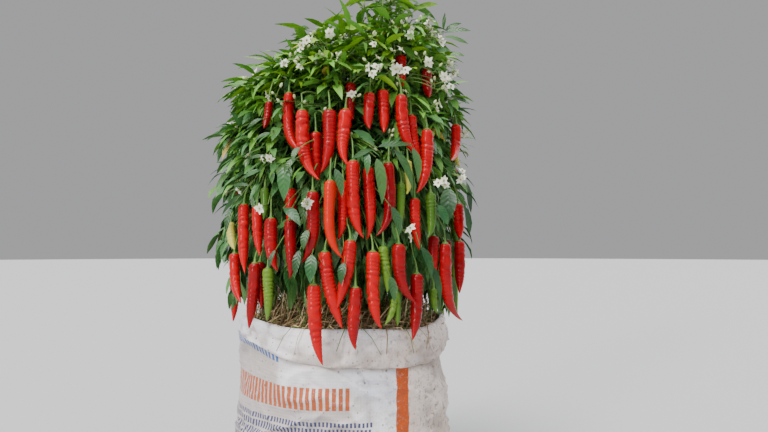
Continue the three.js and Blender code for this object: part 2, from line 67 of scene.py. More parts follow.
def finish_of(name, **sockets):
    """A new material, with plain values put straight on its surface shader's own sockets."""
    made = bpy.data.materials.new(name)
    made.use_nodes = True
    shader = made.node_tree.nodes["Principled BSDF"]
    for socket, value in sockets.items():
        shader.inputs[socket.replace("_", " ")].default_value = value
    return made


def layer(finish, kind, sockets=(), **settings):
    """Adds one node to a material. Sockets pairs an input's name or number with a value, or
    with another node's output to join to it; settings are the node's own properties."""
    made = finish.node_tree.nodes.new("ShaderNode" + kind)
    for key, value in settings.items():
        setattr(made, key, value)
    for socket, value in dict(sockets).items():
        if isinstance(value, bpy.types.NodeSocket):
            finish.node_tree.links.new(value, made.inputs[socket])
        else:
            made.inputs[socket].default_value = value
    return made


def sum_of(finish, operation, first, second=0.5, third=0.5):
    """One step of arithmetic in a material, for example MULTIPLY or GREATER_THAN."""
    return layer(finish, "Math", {0: first, 1: second, 2: third}, operation=operation).outputs[0]


def blend_of(finish, share, first, second, how="MIX"):
    """Mixes two colours by a share from 0 to 1."""
    return layer(finish, "Mix", {0: share, 6: first, 7: second}, data_type="RGBA",
                 blend_type=how).outputs[2]


def range_of(finish, value, low, high, at_low=0.0, at_high=1.0):
    """Turns a number between low and high into one between two others, and holds it there."""
    return layer(finish, "MapRange", {0: value, 1: low, 2: high, 3: at_low, 4: at_high}).outputs[0]


def steps_of(finish, share, *stops):
    """A ramp from a number to a colour; each stop is its place, then its colour."""
    ramp = layer(finish, "ValToRGB", {0: share})
    marks = ramp.color_ramp.elements
    while len(marks) < len(stops):
        marks.new(0.5)
    for mark, (place, colour) in zip(marks, stops):
        mark.position = place
        mark.color = (*colour, 1) if len(colour) == 3 else colour
    return ramp.outputs[0]


def cloud_of(finish, scale, where=None, detail=3.0, roughness=0.55, stretch=(1, 1, 1)):
    """Smooth noise from 0 to 1 on the object's own coordinates, so many to the metre."""
    if where is None:
        where = layer(finish, "TexCoord").outputs["Object"]
    placed = layer(finish, "Mapping", {"Vector": where, "Scale": stretch}).outputs[0]
    return layer(finish, "TexNoise", {"Vector": placed, "Scale": scale, "Detail": detail,
                                      "Roughness": roughness}).outputs[0]


def wire(finish, **outputs):
    """Joins outputs to the surface shader's sockets."""
    shader = finish.node_tree.nodes["Principled BSDF"]
    for socket, output in outputs.items():
        finish.node_tree.links.new(output, shader.inputs[socket.replace("_", " ")])


def raise_by(finish, height, depth, strength=1.0):
    """Roughens the surface by a height from 0 to 1, worth so many metres."""
    bump = layer(finish, "Bump", {"Height": height, "Distance": depth, "Strength": strength})
    wire(finish, Normal=bump.outputs[0])


def piece(name, points, faces, finish, marks=(), chart=None):
    """Makes one mesh piece. Points are in millimetres. Faces is a list of arrays of corner
    numbers, one array for each count of corners. Marks are named numbers kept on the points,
    and the chart is a pair of surface coordinates in metres for each corner in turn."""
    corners = np.concatenate([part.ravel() for part in faces]).astype(np.int32)
    counts = np.concatenate([np.full(len(part), part.shape[1]) for part in faces])
    mesh = bpy.data.meshes.new(name)
    mesh.vertices.add(len(points))
    mesh.vertices.foreach_set("co", (np.asarray(points) * 0.001).astype(np.float32).ravel())
    mesh.loops.add(len(corners))
    mesh.loops.foreach_set("vertex_index", corners)
    mesh.polygons.add(len(counts))
    mesh.polygons.foreach_set("loop_start", (np.cumsum(counts) - counts).astype(np.int32))
    mesh.polygons.foreach_set("use_smooth", np.ones(len(counts), bool))
    for mark, numbers in dict(marks).items():
        kept = mesh.attributes.new(mark, "FLOAT", "POINT")
        kept.data.foreach_set("value", numbers.astype(np.float32).ravel())
    if chart is not None:
        mesh.uv_layers.new(name="chart").data.foreach_set("uv", chart.astype(np.float32).ravel())
    mesh.update(calc_edges=True)
    mesh.validate()
    made = bpy.data.objects.new(name, mesh)
    made.data.materials.append(finish)
    bpy.context.scene.collection.objects.link(made)
    return made


def grid_faces(rows, columns, closed_round=False, closed_along=False):
    """The four-cornered faces of a grid of points kept row by row, and each corner's row and
    column, which run on past the last one where the grid closes on itself."""
    row, column = np.meshgrid(np.arange(rows - (not closed_along)),
                              np.arange(columns - (not closed_round)), indexing="ij")
    at_row = np.stack([row, row, row + 1, row + 1], -1).reshape(-1, 4)
    at_column = np.stack([column, column + 1, column + 1, column], -1).reshape(-1, 4)
    return (at_row % rows) * columns + at_column % columns, at_row, at_column


def round_points(reach, turn, height):
    """Points from their reach from the upright axis, their turn round it and their height."""
    return np.stack(np.broadcast_arrays(reach * np.cos(turn), reach * np.sin(turn), height), -1)


def even_turns(sides):
    """So many even turns, in radians, once round."""
    return np.linspace(0, 2 * np.pi, sides, endpoint=False)


floor_points = round_points(FLOOR_RINGS[:, None], even_turns(FLOOR_SIDES), 0).reshape(-1, 3)
floor_faces = grid_faces(len(FLOOR_RINGS), FLOOR_SIDES, closed_round=True)[0][:, ::-1]
floor_finish = finish_of("pale_floor", Base_Color=(0.5, 0.5, 0.49, 1), Roughness=0.85)
raise_by(floor_finish, cloud_of(floor_finish, 60), 0.0006, 0.3)
floor = piece("studio_floor", floor_points, [floor_faces], floor_finish)

sky = bpy.data.worlds.new("studio_sky")
sky.use_nodes = True
sky_up = layer(sky, "SeparateXYZ", {0: layer(sky, "TexCoord").outputs["Generated"]}).outputs[2]
sky_colour = blend_of(sky, range_of(sky, sky_up, SKY_LOW_LEVEL, SKY_HIGH_LEVEL), SKY_LOW, SKY_HIGH)
sky.node_tree.links.new(sky_colour, sky.node_tree.nodes["Background"].inputs[0])
bpy.context.scene.world = sky

for light_name, (from_right, from_back, from_above), strength, width in LIGHTS:
    lamp = bpy.data.objects.new(light_name, bpy.data.lights.new(light_name, "SUN"))
    lamp.data.energy = strength
    lamp.data.angle = math.radians(width)
    lamp.data.color = LIGHT_COLOUR
    lamp.rotation_euler = (math.atan2(math.hypot(from_right, from_back), from_above), 0,
                           math.atan2(from_back, from_right) + math.pi / 2)
    bpy.context.scene.collection.objects.link(lamp)

# Woven sack. A used 25 kg sack of flat plastic tapes, woven over and under, filled with soil
# and stood on its base: its sides belly out, sag in level wrinkles and crumple. One face is
# printed, with orange side stripes; here the print is plain worn blocks. Nothing fixes it.
SEED = 7
BASE_RADIUS, BELLY_RADIUS, BELLY_HEIGHT, RIM_RADIUS = 150, 172, 155, 163
WALL_HEIGHT, CORNER_HEIGHT, CLOTH = 324, 36, 2.5
SACK_COLUMNS, WALL_ROWS, INNER_STEP, INNERMOST = 400, 152, 7, 6
TAPE = 0.0022
CLOTH_SHADE, CLOTH_WHITE = (0.68, 0.71, 0.84), (0.97, 0.95, 0.97)
PANEL_BEIGE, CUFF_BEIGE = (0.82, 0.67, 0.58, 1), (0.6, 0.42, 0.32, 1)
PANEL_TURN, PANEL_EDGE = -132.4, 0.438
# The fold colour is painted shade, laid on the cloth where it lies deep in a fold or crease.
DUST, FOLD_PAINTED_SHADE, FOOT_DIRT = (0.5, 0.37, 0.28, 1), (0.38, 0.31, 0.27, 1), (0.33, 0.25, 0.2, 1)
EDGE_DIRT, SMUDGES, SPECKS = (0.38, 0.25, 0.16, 1), (0.22, 0.14, 0.08, 1), (0.13, 0.095, 0.07, 1)
STRIPE_TURNS, STRIPE_HALF_WIDTH, STRIPE_WANDER = (-55.8, -235.8), 0.0105, 0.003
STRIPE_INK = (0.5, 0.068, 0.0, 1)

# Rows of print, in metres: the ink, the row's slope, its lower and upper edge and right end,
# then a block's width, its height and the gap between blocks.
PRINT_LEFT, PRINT_SHARE = -0.25, 0.96
PRINT_ROWS = (((0.5, 0.085, 0.003, 1), 0.0, 0.22, 0.251, 0.025, 0.0096, 0.036, 0.0038),
              ((0.025, 0.035, 0.14, 1), 0.01, 0.14, 0.204, 0.056, 0.0058, 0.0115, 0.0028),
              ((0.03, 0.12, 0.4, 1), 0.11, 0.271, 0.284, -0.085, 0.0085, 0.0135, 0.0034))


def chance(*keys):
    """The plant's own seeded number from 0 to 1 for whole-number keys, alone or in arrays,
    which only tell one draw from another. Each key is mixed in by a multiplication, a shift
    and a second multiplication."""
    mixed = np.uint64(SEED)
    for key in keys:
        key = np.asarray(np.asarray(key, np.int64) + 1 & 0xFFFFFFFF, np.uint64)
        mixed = (mixed ^ key) * np.uint64(0x9E3779B1) & np.uint64(0xFFFFFFFF)
        mixed = (mixed ^ mixed >> np.uint64(15)) * np.uint64(0x85EBCA6B) & np.uint64(0xFFFFFFFF)
        mixed = mixed ^ mixed >> np.uint64(13)
    return mixed / 2.0 ** 32


def either(spread, *keys):
    """A seeded number from minus spread to plus spread."""
    return (2 * chance(*keys) - 1) * spread


def rumple(points, kind):
    """Smooth noise from 0 to 1: a seeded number on each corner of unit cells, mixed across a
    cell by the curve 3 t squared minus 2 t cubed."""
    cell = np.floor(points)
    part = points - cell
    part = part * part * (3 - 2 * part)
    cell = cell.astype(np.int64)
    total = 0
    for corner in np.ndindex(2, 2, 2):
        weight = np.prod(np.where(corner, part, 1 - part), -1)
        total = total + weight * chance(kind, *np.moveaxis(cell + np.array(corner) + 4096, -1, 0))
    return total


def fold(points, kind, sharp=3):
    """Sharp-backed folds from 0 to 1: one minus the noise's distance from a half, to a power."""
    return (1 - np.abs(2 * rumple(points, kind) - 1)) ** sharp


def ease(value, low, high):
    """0 below low, 1 above high and a smooth curve between."""
    share = np.clip((value - low) / (high - low), 0, 1)
    return share * share * (3 - 2 * share)


def slump(turn, height):
    """How far out of round the filled sack is, as a share of its radius: waves of 2, 3 and 5."""
    return (1 + 0.012 * np.cos(2 * (turn - 0.6)) + 0.008 * np.cos(3 * turn + 1.1 + height / 180)
            + 0.004 * np.sin(5 * turn - height / 90))


def wall_radius(height):
    """The wall's radius: a parabola about the belly, and a rounded corner at the foot."""
    narrowing = (BELLY_RADIUS - RIM_RADIUS) / (WALL_HEIGHT - BELLY_HEIGHT) ** 2
    side = BELLY_RADIUS - narrowing * (np.asarray(height, float) - BELLY_HEIGHT) ** 2
    foot = BELLY_RADIUS - narrowing * (CORNER_HEIGHT - BELLY_HEIGHT) ** 2
    corner = np.sqrt(np.clip(1 - (np.clip(CORNER_HEIGHT - height, 0, None) / CORNER_HEIGHT) ** 2, 0, 1))
    return np.where(height >= CORNER_HEIGHT, side, BASE_RADIUS + (foot - BASE_RADIUS) * corner)


def rim_wave(turn, height):
    """The rim's rise and fall: waves of 2 and 5 that fade in over the upper wall."""
    wave = 4.5 * np.sin(2 * turn + 0.5) + 2.5 * np.sin(5 * turn + 2)
    return wave * ease(height, 0.6 * WALL_HEIGHT, WALL_HEIGHT)


def crumpled(turn, height):
    """How far the cloth stands out, in mm: broad billows, long wrinkles that sag between high
    points, in patches and more of them low down, sharp creases in front, and a fine crumple,
    all calmer beside the front stripe. At the back the cloth lies further in."""
    spot = round_points(BELLY_RADIUS, turn, height)
    warp = rumple(spot / 75, 11) - 0.5
    sag = spot.copy()
    sag[..., 2] += 22 * np.sin(3 * turn + 0.8) + 14 * np.sin(5 * turn) + 46 * warp
    billow = rumple(spot / [85, 85, 95], 12) - 0.5
    patch = ease(rumple(spot / [95, 95, 60], 13), 0.3, 0.7)
    low = 1 - 0.75 * ease(height, 110, 240)
    wrinkle = fold(sag / [70, 70, 21], 14, 5) * patch * low
    second = fold(sag / [52, 52, 12], 15, 5) * (1 - patch) * low
    slant = spot.copy()
    slant[..., 2] += 60 * np.sin(2 * turn + 2.2) + 40 * warp
    slanting = fold(slant / [110, 110, 34], 16, 4)
    fine = fold(spot / [17, 17, 11] + warp[..., None] * 1.5, 17, 2)
    creases = fold(slant / [60, 60, 26], 18, 12) * ease(np.cos(turn), -0.6, 0.2)
    calm = 1 - 0.6 * ease(np.cos(turn + 0.97), 0.95, 0.99) * ease(height, 60, 150)
    return ((12 * billow - 3 * creases + 8 * wrinkle + 4 * second + 6 * slanting + 1.3 * fine - 8) * calm
            - 6 * np.clip(-np.cos(turn), 0, 1) * ease(height, 30, 120))


wall_heights = WALL_HEIGHT * np.linspace(0, 1, WALL_ROWS)
inner_heights = wall_heights[::-INNER_STEP]
sack_profile = np.concatenate([
    np.stack([np.linspace(INNERMOST, BASE_RADIUS - 3, 9), np.zeros(9)], -1),
    np.stack([wall_radius(wall_heights), wall_heights], -1),
    np.stack([wall_radius(inner_heights) - CLOTH, np.maximum(inner_heights, CLOTH)], -1),
    np.stack([np.linspace(BASE_RADIUS - 9, INNERMOST, 6), np.full(6, CLOTH)], -1)])
sack_rows = len(sack_profile)
sack_turns = np.linspace(np.pi / 2, 2.5 * np.pi, SACK_COLUMNS, endpoint=False)
profile_radius, profile_height = sack_profile[:, :1], sack_profile[:, 1:]
turn_grid = np.broadcast_to(sack_turns, (sack_rows, SACK_COLUMNS))
height_grid = np.broadcast_to(profile_height, turn_grid.shape)
cloth_relief = crumpled(turn_grid, height_grid) * ease(profile_height, 4, 40)
cloth_relief = cloth_relief * (1 - 0.7 * ease(profile_height, 275, 305))
# Painted shade: the deeper the cloth lies in a fold, the darker its colour.
cloth_hollow = ease(-cloth_relief, 2, 8)
cloth_radius = profile_radius + cloth_relief * (profile_radius > BASE_RADIUS - 1)
sack_points = round_points(cloth_radius * slump(turn_grid, height_grid), turn_grid,
                           height_grid + rim_wave(turn_grid, height_grid)).reshape(-1, 3)
sack_points = np.concatenate([sack_points, [[0, 0, 0], [0, 0, CLOTH]]])
sack_faces, sack_face_rows, sack_face_columns = grid_faces(sack_rows, SACK_COLUMNS, closed_round=True)
around = np.arange(SACK_COLUMNS)
beside = (around + 1) % SACK_COLUMNS
floor_ring = (sack_rows - 1) * SACK_COLUMNS
sack_base_fan = np.stack([np.full(SACK_COLUMNS, len(sack_points) - 2), beside, around], -1)
sack_floor_fan = np.stack([np.full(SACK_COLUMNS, len(sack_points) - 1), floor_ring + around,
                           floor_ring + beside], -1)
column_turn = np.linspace(-np.pi, np.pi, SACK_COLUMNS + 1)
sack_chart = np.concatenate([
    np.stack([column_turn[sack_face_columns] * BELLY_RADIUS / 1000,
              sack_profile[:, 1][sack_face_rows] / 1000], -1).reshape(-1, 2),
    np.zeros((6 * SACK_COLUMNS, 2))])


def product_of(finish, share, *others):
    """Several shares multiplied together."""
    for other in others:
        share = sum_of(finish, "MULTIPLY", share, other)
    return share


def striped(cloth, colour, across, worn):
    """Draws the stripes: ink where the place across the cloth, which wanders a little by noise,
    is less than half a stripe's width from a stripe's middle."""
    for turn in STRIPE_TURNS:
        middle = math.radians(turn + 90) * BELLY_RADIUS / 1000
        wander = sum_of(cloth, "MULTIPLY_ADD", cloud_of(cloth, 7), STRIPE_WANDER, -STRIPE_WANDER / 2)
        off = sum_of(cloth, "SUBTRACT", sum_of(cloth, "ADD", across, wander), middle)
        stripe = sum_of(cloth, "LESS_THAN", sum_of(cloth, "ABSOLUTE", off), STRIPE_HALF_WIDTH)
        colour = blend_of(cloth, product_of(cloth, stripe, worn), colour, STRIPE_INK)
    return colour


def block_printed(cloth, colour, across, up, worn):
    """Prints the rows of plain blocks: a brick pattern on the cloth's own measure, slanted and
    cut off at the row's lower, upper, left and right edge."""
    for ink, slope, low, high, right, width, height, gap in PRINT_ROWS:
        slanted = sum_of(cloth, "MULTIPLY_ADD", across, slope, up)
        tilted = layer(cloth, "CombineXYZ", {0: across, 1: slanted}).outputs[0]
        slid = layer(cloth, "Mapping", {"Vector": tilted, "Location": (0.5, gap / 2 - low, 0)}).outputs[0]
        gaps = layer(cloth, "TexBrick", {"Vector": slid, "Scale": 1.0, "Mortar Size": gap / 2,
                                         "Mortar Smooth": 0.1, "Brick Width": width, "Row Height": height},
                     offset=0.37, squash=1.0).outputs[1]
        edges = [sum_of(cloth, "GREATER_THAN", slanted, low), sum_of(cloth, "LESS_THAN", slanted, high),
                 sum_of(cloth, "GREATER_THAN", across, PRINT_LEFT), sum_of(cloth, "LESS_THAN", across, right)]
        inked = product_of(cloth, sum_of(cloth, "SUBTRACT", 1.0, gaps), *edges, worn, PRINT_SHARE)
        colour = blend_of(cloth, inked, colour, ink)
    return colour


def specked(cloth, colour, side):
    """Adds small brown smudges towards one side, and round dark specks of two sizes."""
    patchy = cloud_of(cloth, 130, detail=6, roughness=0.7)
    grain = steps_of(cloth, patchy, (0.53, (0, 0, 0)), (0.63, (1, 1, 1)))
    smudged = product_of(cloth, range_of(cloth, side, 0.0, 0.16), grain, 0.8)
    colour = blend_of(cloth, smudged, colour, SMUDGES)
    place = layer(cloth, "TexCoord").outputs["Object"]
    for scale, size, share in ((70.0, 0.13, 0.75), (150.0, 0.2, 0.65)):
        spots = layer(cloth, "TexVoronoi", {"Vector": place, "Scale": scale})
        own_size = layer(cloth, "SeparateColor", {0: spots.outputs["Color"]}).outputs[0]
        speck = sum_of(cloth, "LESS_THAN", spots.outputs["Distance"], product_of(cloth, own_size, size))
        colour = blend_of(cloth, product_of(cloth, speck, share), colour, SPECKS)
    return colour


def woven_cloth(name, printed):
    """The cloth's finish. The weave is two sets of ribs, the upper one picked in turn by a
    chequer. Over it lie a dusty tint, painted shade that darkens the folds, the creases and the
    wall under the cuff, brown stains, dark specks and, on the printed wall, side stripes and
    rows of plain blocks, all worn by noise. Side is the place from left to right in metres,
    the same wherever the chart begins."""
    cloth = finish_of(name, Roughness=0.52, Specular_IOR_Level=0.35, Sheen_Weight=0.05)
    chart = layer(cloth, "UVMap", uv_map="chart").outputs[0]
    across, up = layer(cloth, "SeparateXYZ", {0: chart}).outputs[:2]
    side = product_of(cloth, sum_of(cloth, "SINE", product_of(cloth, across, 1000 / BELLY_RADIUS)), 0.18)
    stain = cloud_of(cloth, 11, detail=7, roughness=0.7)
    broad = cloud_of(cloth, 7, detail=5)
    colour = steps_of(cloth, broad, (0.34, CLOTH_SHADE), (0.56, CLOTH_WHITE))
    if printed:
        panel = sum_of(cloth, "COSINE", sum_of(
            cloth, "MULTIPLY_ADD", across, 2000 / BELLY_RADIUS, math.radians(PANEL_TURN)))
        panel_share = product_of(cloth, sum_of(cloth, "GREATER_THAN", panel, PANEL_EDGE), 0.8)
        colour = blend_of(cloth, panel_share, colour, PANEL_BEIGE)
    dusty = steps_of(cloth, stain, (0.45, (0, 0, 0)), (0.68, (1, 1, 1)))
    dust_share = product_of(cloth, dusty, range_of(cloth, side, -0.12, 0.12, 0.15, 0.8))
    colour = blend_of(cloth, dust_share, colour, DUST)
    # Painted shade: the hollow mark darkens the folds, the creases and the wall under the cuff.
    hollow = layer(cloth, "Attribute", attribute_name="hollow").outputs["Fac"]
    colour = blend_of(cloth, product_of(cloth, hollow, 0.7), colour, FOLD_PAINTED_SHADE)
    if printed:
        foot_share = product_of(cloth, range_of(cloth, up, 0.14, 0.0, 0.0, 0.55), stain)
        colour = blend_of(cloth, foot_share, colour, FOOT_DIRT)
        wear = cloud_of(cloth, 210, detail=6, roughness=0.7)
        worn = steps_of(cloth, wear, (0.34, (0.7, 0.7, 0.7)), (0.44, (1, 1, 1)))
        colour = striped(cloth, colour, across, worn)
        colour = block_printed(cloth, colour, across, up, worn)
    else:
        beige_share = product_of(cloth, range_of(cloth, side, 0.0, 0.14, 0.1, 0.75), broad)
        colour = blend_of(cloth, beige_share, colour, CUFF_BEIGE)
        low_edge = range_of(cloth, up, 0.027, 0.047, 1.1, 0.0)
        edge_share = product_of(cloth, low_edge, range_of(cloth, side, -0.12, 0.0), stain)
        colour = blend_of(cloth, edge_share, colour, EDGE_DIRT)
    colour = specked(cloth, colour, side)
    ribs = [layer(cloth, "TexWave", {"Vector": chart, "Scale": 0.314 / TAPE / 2, "Distortion": 0.0},
                  bands_direction=way).outputs[1] for way in "XY"]
    pick = layer(cloth, "TexChecker", {"Vector": chart, "Scale": 1 / TAPE}).outputs[1]
    weave = blend_of(cloth, pick, *ribs)
    wire(cloth, Base_Color=blend_of(cloth, 0.06, colour, weave, "MULTIPLY"))
    raise_by(cloth, sum_of(cloth, "MULTIPLY_ADD", cloud_of(cloth, 110, detail=5), 2.4, weave), 0.0007, 0.4)
    return cloth


woven_sack = piece("woven_sack", sack_points, [sack_faces, sack_base_fan, sack_floor_fan],
                   woven_cloth("woven_sack_cloth", True), chart=sack_chart,
                   marks={"hollow": np.append(cloth_hollow, [0, 0])})
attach(woven_sack, "root")
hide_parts("sack")

# Rolled cuff. The sack's mouth is turned down outside in one broad band with a soft, full
# lower edge, deeper at the front, dustier than the wall and creased where it was folded.
CUFF_DEPTH, CUFF_SWAY, CUFF_LOWEST, CUFF_RIPPLE, CUFF_LEAST = 25, 20, -50, 2.5, 17
CUFF_RADIUS = 170
CUFF_SECTION = np.array([
    [0.7, 0.7], [1.2, -9], [1.7, -21], [3.2, -26], [5.6, -24], [5.3, -16], [4.5, -8],
    [3.7, 1.4], [1.2, 5.4], [-2.6, 6.4], [-5.2, 3.7], [-5.6, -8], [-3.4, -8], [-3.2, 0.7]])


def smooth_loop(corners, steps):
    """A closed line through the corners, with so many points from each to the next: a cubic
    whose slope at a corner is half the step between the corners beside it."""
    before, here, after, beyond = (np.roll(corners, shift, 0)[:, None] for shift in (1, 0, -1, -2))
    share = np.linspace(0, 1, steps, endpoint=False)[None, :, None]
    return (0.5 * (2 * here + (after - before) * share
                   + (2 * before - 5 * here + 4 * after - beyond) * share ** 2
                   + (3 * here - before - 3 * after + beyond) * share ** 3)).reshape(-1, corners.shape[1])


cuff_line = smooth_loop(CUFF_SECTION, 4)
cuff_rows = len(cuff_line)
cuff_turn, cuff_out = np.meshgrid(sack_turns, cuff_line[:, 0])
cuff_up = np.broadcast_to(cuff_line[:, 1:], cuff_turn.shape)
cuff_height = WALL_HEIGHT + cuff_up
cuff_base = wall_radius(WALL_HEIGHT + np.minimum(0, cuff_up)) + cuff_out
cuff_spot = round_points(CUFF_RADIUS, cuff_turn, cuff_up)
cuff_warp = rumple(cuff_spot / 60, 21) - 0.5
cuff_sway = np.maximum(CUFF_LEAST - CUFF_DEPTH, CUFF_SWAY * np.cos(cuff_turn - math.radians(CUFF_LOWEST)))
cuff_drop = (cuff_sway + CUFF_RIPPLE * np.sin(3 * cuff_turn)) * ease(-cuff_up, 8, CUFF_DEPTH)
cuff_slant = cuff_spot.copy()
cuff_slant[..., 2] -= cuff_drop
cuff_slant[..., 2] += 26 * np.sin(3 * cuff_turn + 1) + 34 * cuff_warp
outer_face = ease(cuff_out, 2.2, 5) * ease(-cuff_up, -4, 10)
cuff_relief = outer_face * (
    6 * fold(cuff_slant / [64, 64, 15], 22, 5) + 4 * (rumple(cuff_spot / 38, 23) - 0.5)
    + 1.6 * fold(cuff_spot / [15, 15, 9], 24, 2) - 2.3)
cuff_creases = outer_face * fold(cuff_slant / [44, 44, 17], 27, 11)
cuff_relief -= 2.4 * cuff_creases
cuff_roll = ease(-cuff_up, 12, CUFF_DEPTH) * 5 * (rumple(cuff_spot / 34, 25) - 0.5)
cuff_radius = cuff_base + cuff_relief - 8 * np.clip(-np.cos(cuff_turn), 0, 1)
cuff_radius = cuff_radius * slump(cuff_turn, cuff_height)
cuff_points = round_points(cuff_radius, cuff_turn,
                           cuff_height + rim_wave(cuff_turn, cuff_height) - cuff_drop + cuff_roll)
cuff_edge = cuff_points[..., 2].min(0)
cuff_faces, cuff_face_rows, cuff_face_columns = grid_faces(cuff_rows, SACK_COLUMNS, True, True)
cuff_steps = np.diff(cuff_line[np.arange(cuff_rows + 1) % cuff_rows], axis=0)
cuff_length = np.append(0, np.cumsum(np.hypot(*cuff_steps.T)))
cuff_chart = np.stack([column_turn[cuff_face_columns] * CUFF_RADIUS / 1000,
                       cuff_length[cuff_face_rows] / 1000], -1).reshape(-1, 2)
# Painted shade in the cuff's hollows and creases.
cuff_hollow = np.maximum(0.7 * ease(-cuff_relief, -0.4, 2.4) * outer_face, cuff_creases)
rolled_cuff = piece("rolled_cuff", cuff_points.reshape(-1, 3), [cuff_faces],
                    woven_cloth("rolled_cuff_cloth", False), chart=cuff_chart, marks={"hollow": cuff_hollow})
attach(rolled_cuff, "root")
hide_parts("sack_cuff")

# Painted shadow: the wall is darker close under the cuff's edge too.
cuff_shadow = ease(sack_points[:-2, 2].reshape(sack_rows, SACK_COLUMNS) - cuff_edge, -9, -0.5)
sack_hollow = np.append(np.maximum(cloth_hollow, cuff_shadow), [0, 0])
woven_sack.data.attributes["hollow"].data.foreach_set("value", sack_hollow.astype(np.float32))

# Soil. Dark damp potting soil fills the sack to just under the rim, a little clear of the
# cloth. Only its crumbly top shows, between the straw.
SOIL_TOP, SOIL_SIDES, CRUMBS_FROM = 303, 96, 7
SOIL_PROFILE = np.array([[10, 3], [126, 3], [132, 12], [141, 60], [142, 155], [140, 270], [146, SOIL_TOP - 4],
                         [144, SOIL_TOP], [120, SOIL_TOP], [90, SOIL_TOP], [50, SOIL_TOP], [10, SOIL_TOP]])
soil_rows = len(SOIL_PROFILE)
soil_spot = round_points(SOIL_PROFILE[:, :1], even_turns(SOIL_SIDES), SOIL_PROFILE[:, 1:])
soil_spot[CRUMBS_FROM:, :, 2] += 3 * (rumple(soil_spot[CRUMBS_FROM:] / 9, 26) - 1)
soil_ring = np.arange(SOIL_SIDES)[None]
soil_finish = finish_of("damp_soil", Roughness=0.95)
soil_crumbs = cloud_of(soil_finish, 160, detail=6)
soil_colour = steps_of(soil_finish, soil_crumbs, (0.35, (0.012, 0.008, 0.005)), (0.7, (0.07, 0.045, 0.028)))
wire(soil_finish, Base_Color=soil_colour)
raise_by(soil_finish, soil_crumbs, 0.004)
potting_soil = piece("potting_soil", soil_spot.reshape(-1, 3), [
    grid_faces(soil_rows, SOIL_SIDES, closed_round=True)[0], soil_ring[:, ::-1],
    (soil_rows - 1) * SOIL_SIDES + soil_ring], soil_finish)
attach(potting_soil, "root")
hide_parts("soil")

# Straw mulch. A low heap of dry rice straw and husk laid round the stem, matted at the
# bottom, with loose stalks on top that lean every way, some over the rim, and a few green.
STRAW_FLOOR = 303.35
HEAP_OUTLINE = ([0, 17, 23, 63, 117, 150, 165], [34, 38, 41, 46, 28, 10, 4])
HEAP_RINGS = np.array([17, 17, 20, 26, 34, 44, 55, 66, 78, 89, 100, 110, 119, 127, 135, 142, 148, 152,
                       152.5, 146, 90, 30])
HEAP_SIDES, HEAP_TOP_RINGS = 160, 18
LOOSE_STALKS, DRAPED_STALKS, STALK_STEPS, STALK_SIDES = 2600, 11, 5, 4


def turns_of(paths):
    """Two crosswise directions for every point of many paths. The first is square to the path
    at its start and is carried on by taking away what lies along the path."""
    ahead = np.gradient(paths, axis=1)
    ahead /= np.linalg.norm(ahead, axis=-1, keepdims=True) + 1e-9
    side = np.zeros_like(ahead)
    seed = np.where(np.abs(ahead[:, 0, 2:]) < 0.9, [[0, 0, 1.0]], [[0, 1.0, 0]])
    for step in range(paths.shape[1]):
        seed = seed - np.sum(seed * ahead[:, step], -1, keepdims=True) * ahead[:, step]
        seed = seed / (np.linalg.norm(seed, axis=-1, keepdims=True) + 1e-9)
        side[:, step] = seed
    return side, np.cross(ahead, side)


def rods(paths, radii, sides):
    """Many rods at once, each carried along its path: a ring is the path's point plus the
    radius times the cosine and sine of even turns in the two crosswise directions. Both
    ends are closed by a flat face."""
    count, steps = paths.shape[:2]
    side, other = turns_of(paths)
    turn = np.arange(sides) * 2 * np.pi / sides
    spread = np.asarray(radii) if np.ndim(radii) == 3 else np.asarray(radii)[..., None]
    spread = np.broadcast_to(spread, (count, steps, sides))
    rings = (paths[:, :, None] + spread[..., None] * (np.cos(turn)[:, None] * side[:, :, None]
                                                     + np.sin(turn)[:, None] * other[:, :, None]))
    quads = grid_faces(steps, sides, closed_round=True)[0]
    ends = np.stack([np.arange(sides)[::-1], (steps - 1) * sides + np.arange(sides)])
    first = (np.arange(count) * steps * sides)[:, None, None]
    return rings.reshape(-1, 3), [(quads[None] + first).reshape(-1, 4),
                                  (ends[None] + first).reshape(-1, sides)]


def heap_height(reach):
    """The heap's height over its reach from the stem: high by the stem, low at the rim."""
    return STRAW_FLOOR + np.interp(reach, *HEAP_OUTLINE)


heap_rise = np.concatenate([[STRAW_FLOOR], heap_height(HEAP_RINGS[1:HEAP_TOP_RINGS]), [STRAW_FLOOR + 4],
                            np.full(len(HEAP_RINGS) - HEAP_TOP_RINGS - 1, STRAW_FLOOR)])[:, None]
heap_turns = even_turns(HEAP_SIDES)
heap_spot = round_points(HEAP_RINGS[:, None], heap_turns, 0)
heap_lift = 6 * (rumple(heap_spot / 14, 31) - 0.5) + 5 * fold(heap_spot / [9, 22, 9], 32)
heap_lift = heap_lift * ease(heap_rise, STRAW_FLOOR + 5, STRAW_FLOOR + 14)
heap_points = round_points(HEAP_RINGS[:, None], heap_turns, heap_rise + heap_lift)
heap_faces = grid_faces(len(HEAP_RINGS), HEAP_SIDES, True, True)[0][:, ::-1]

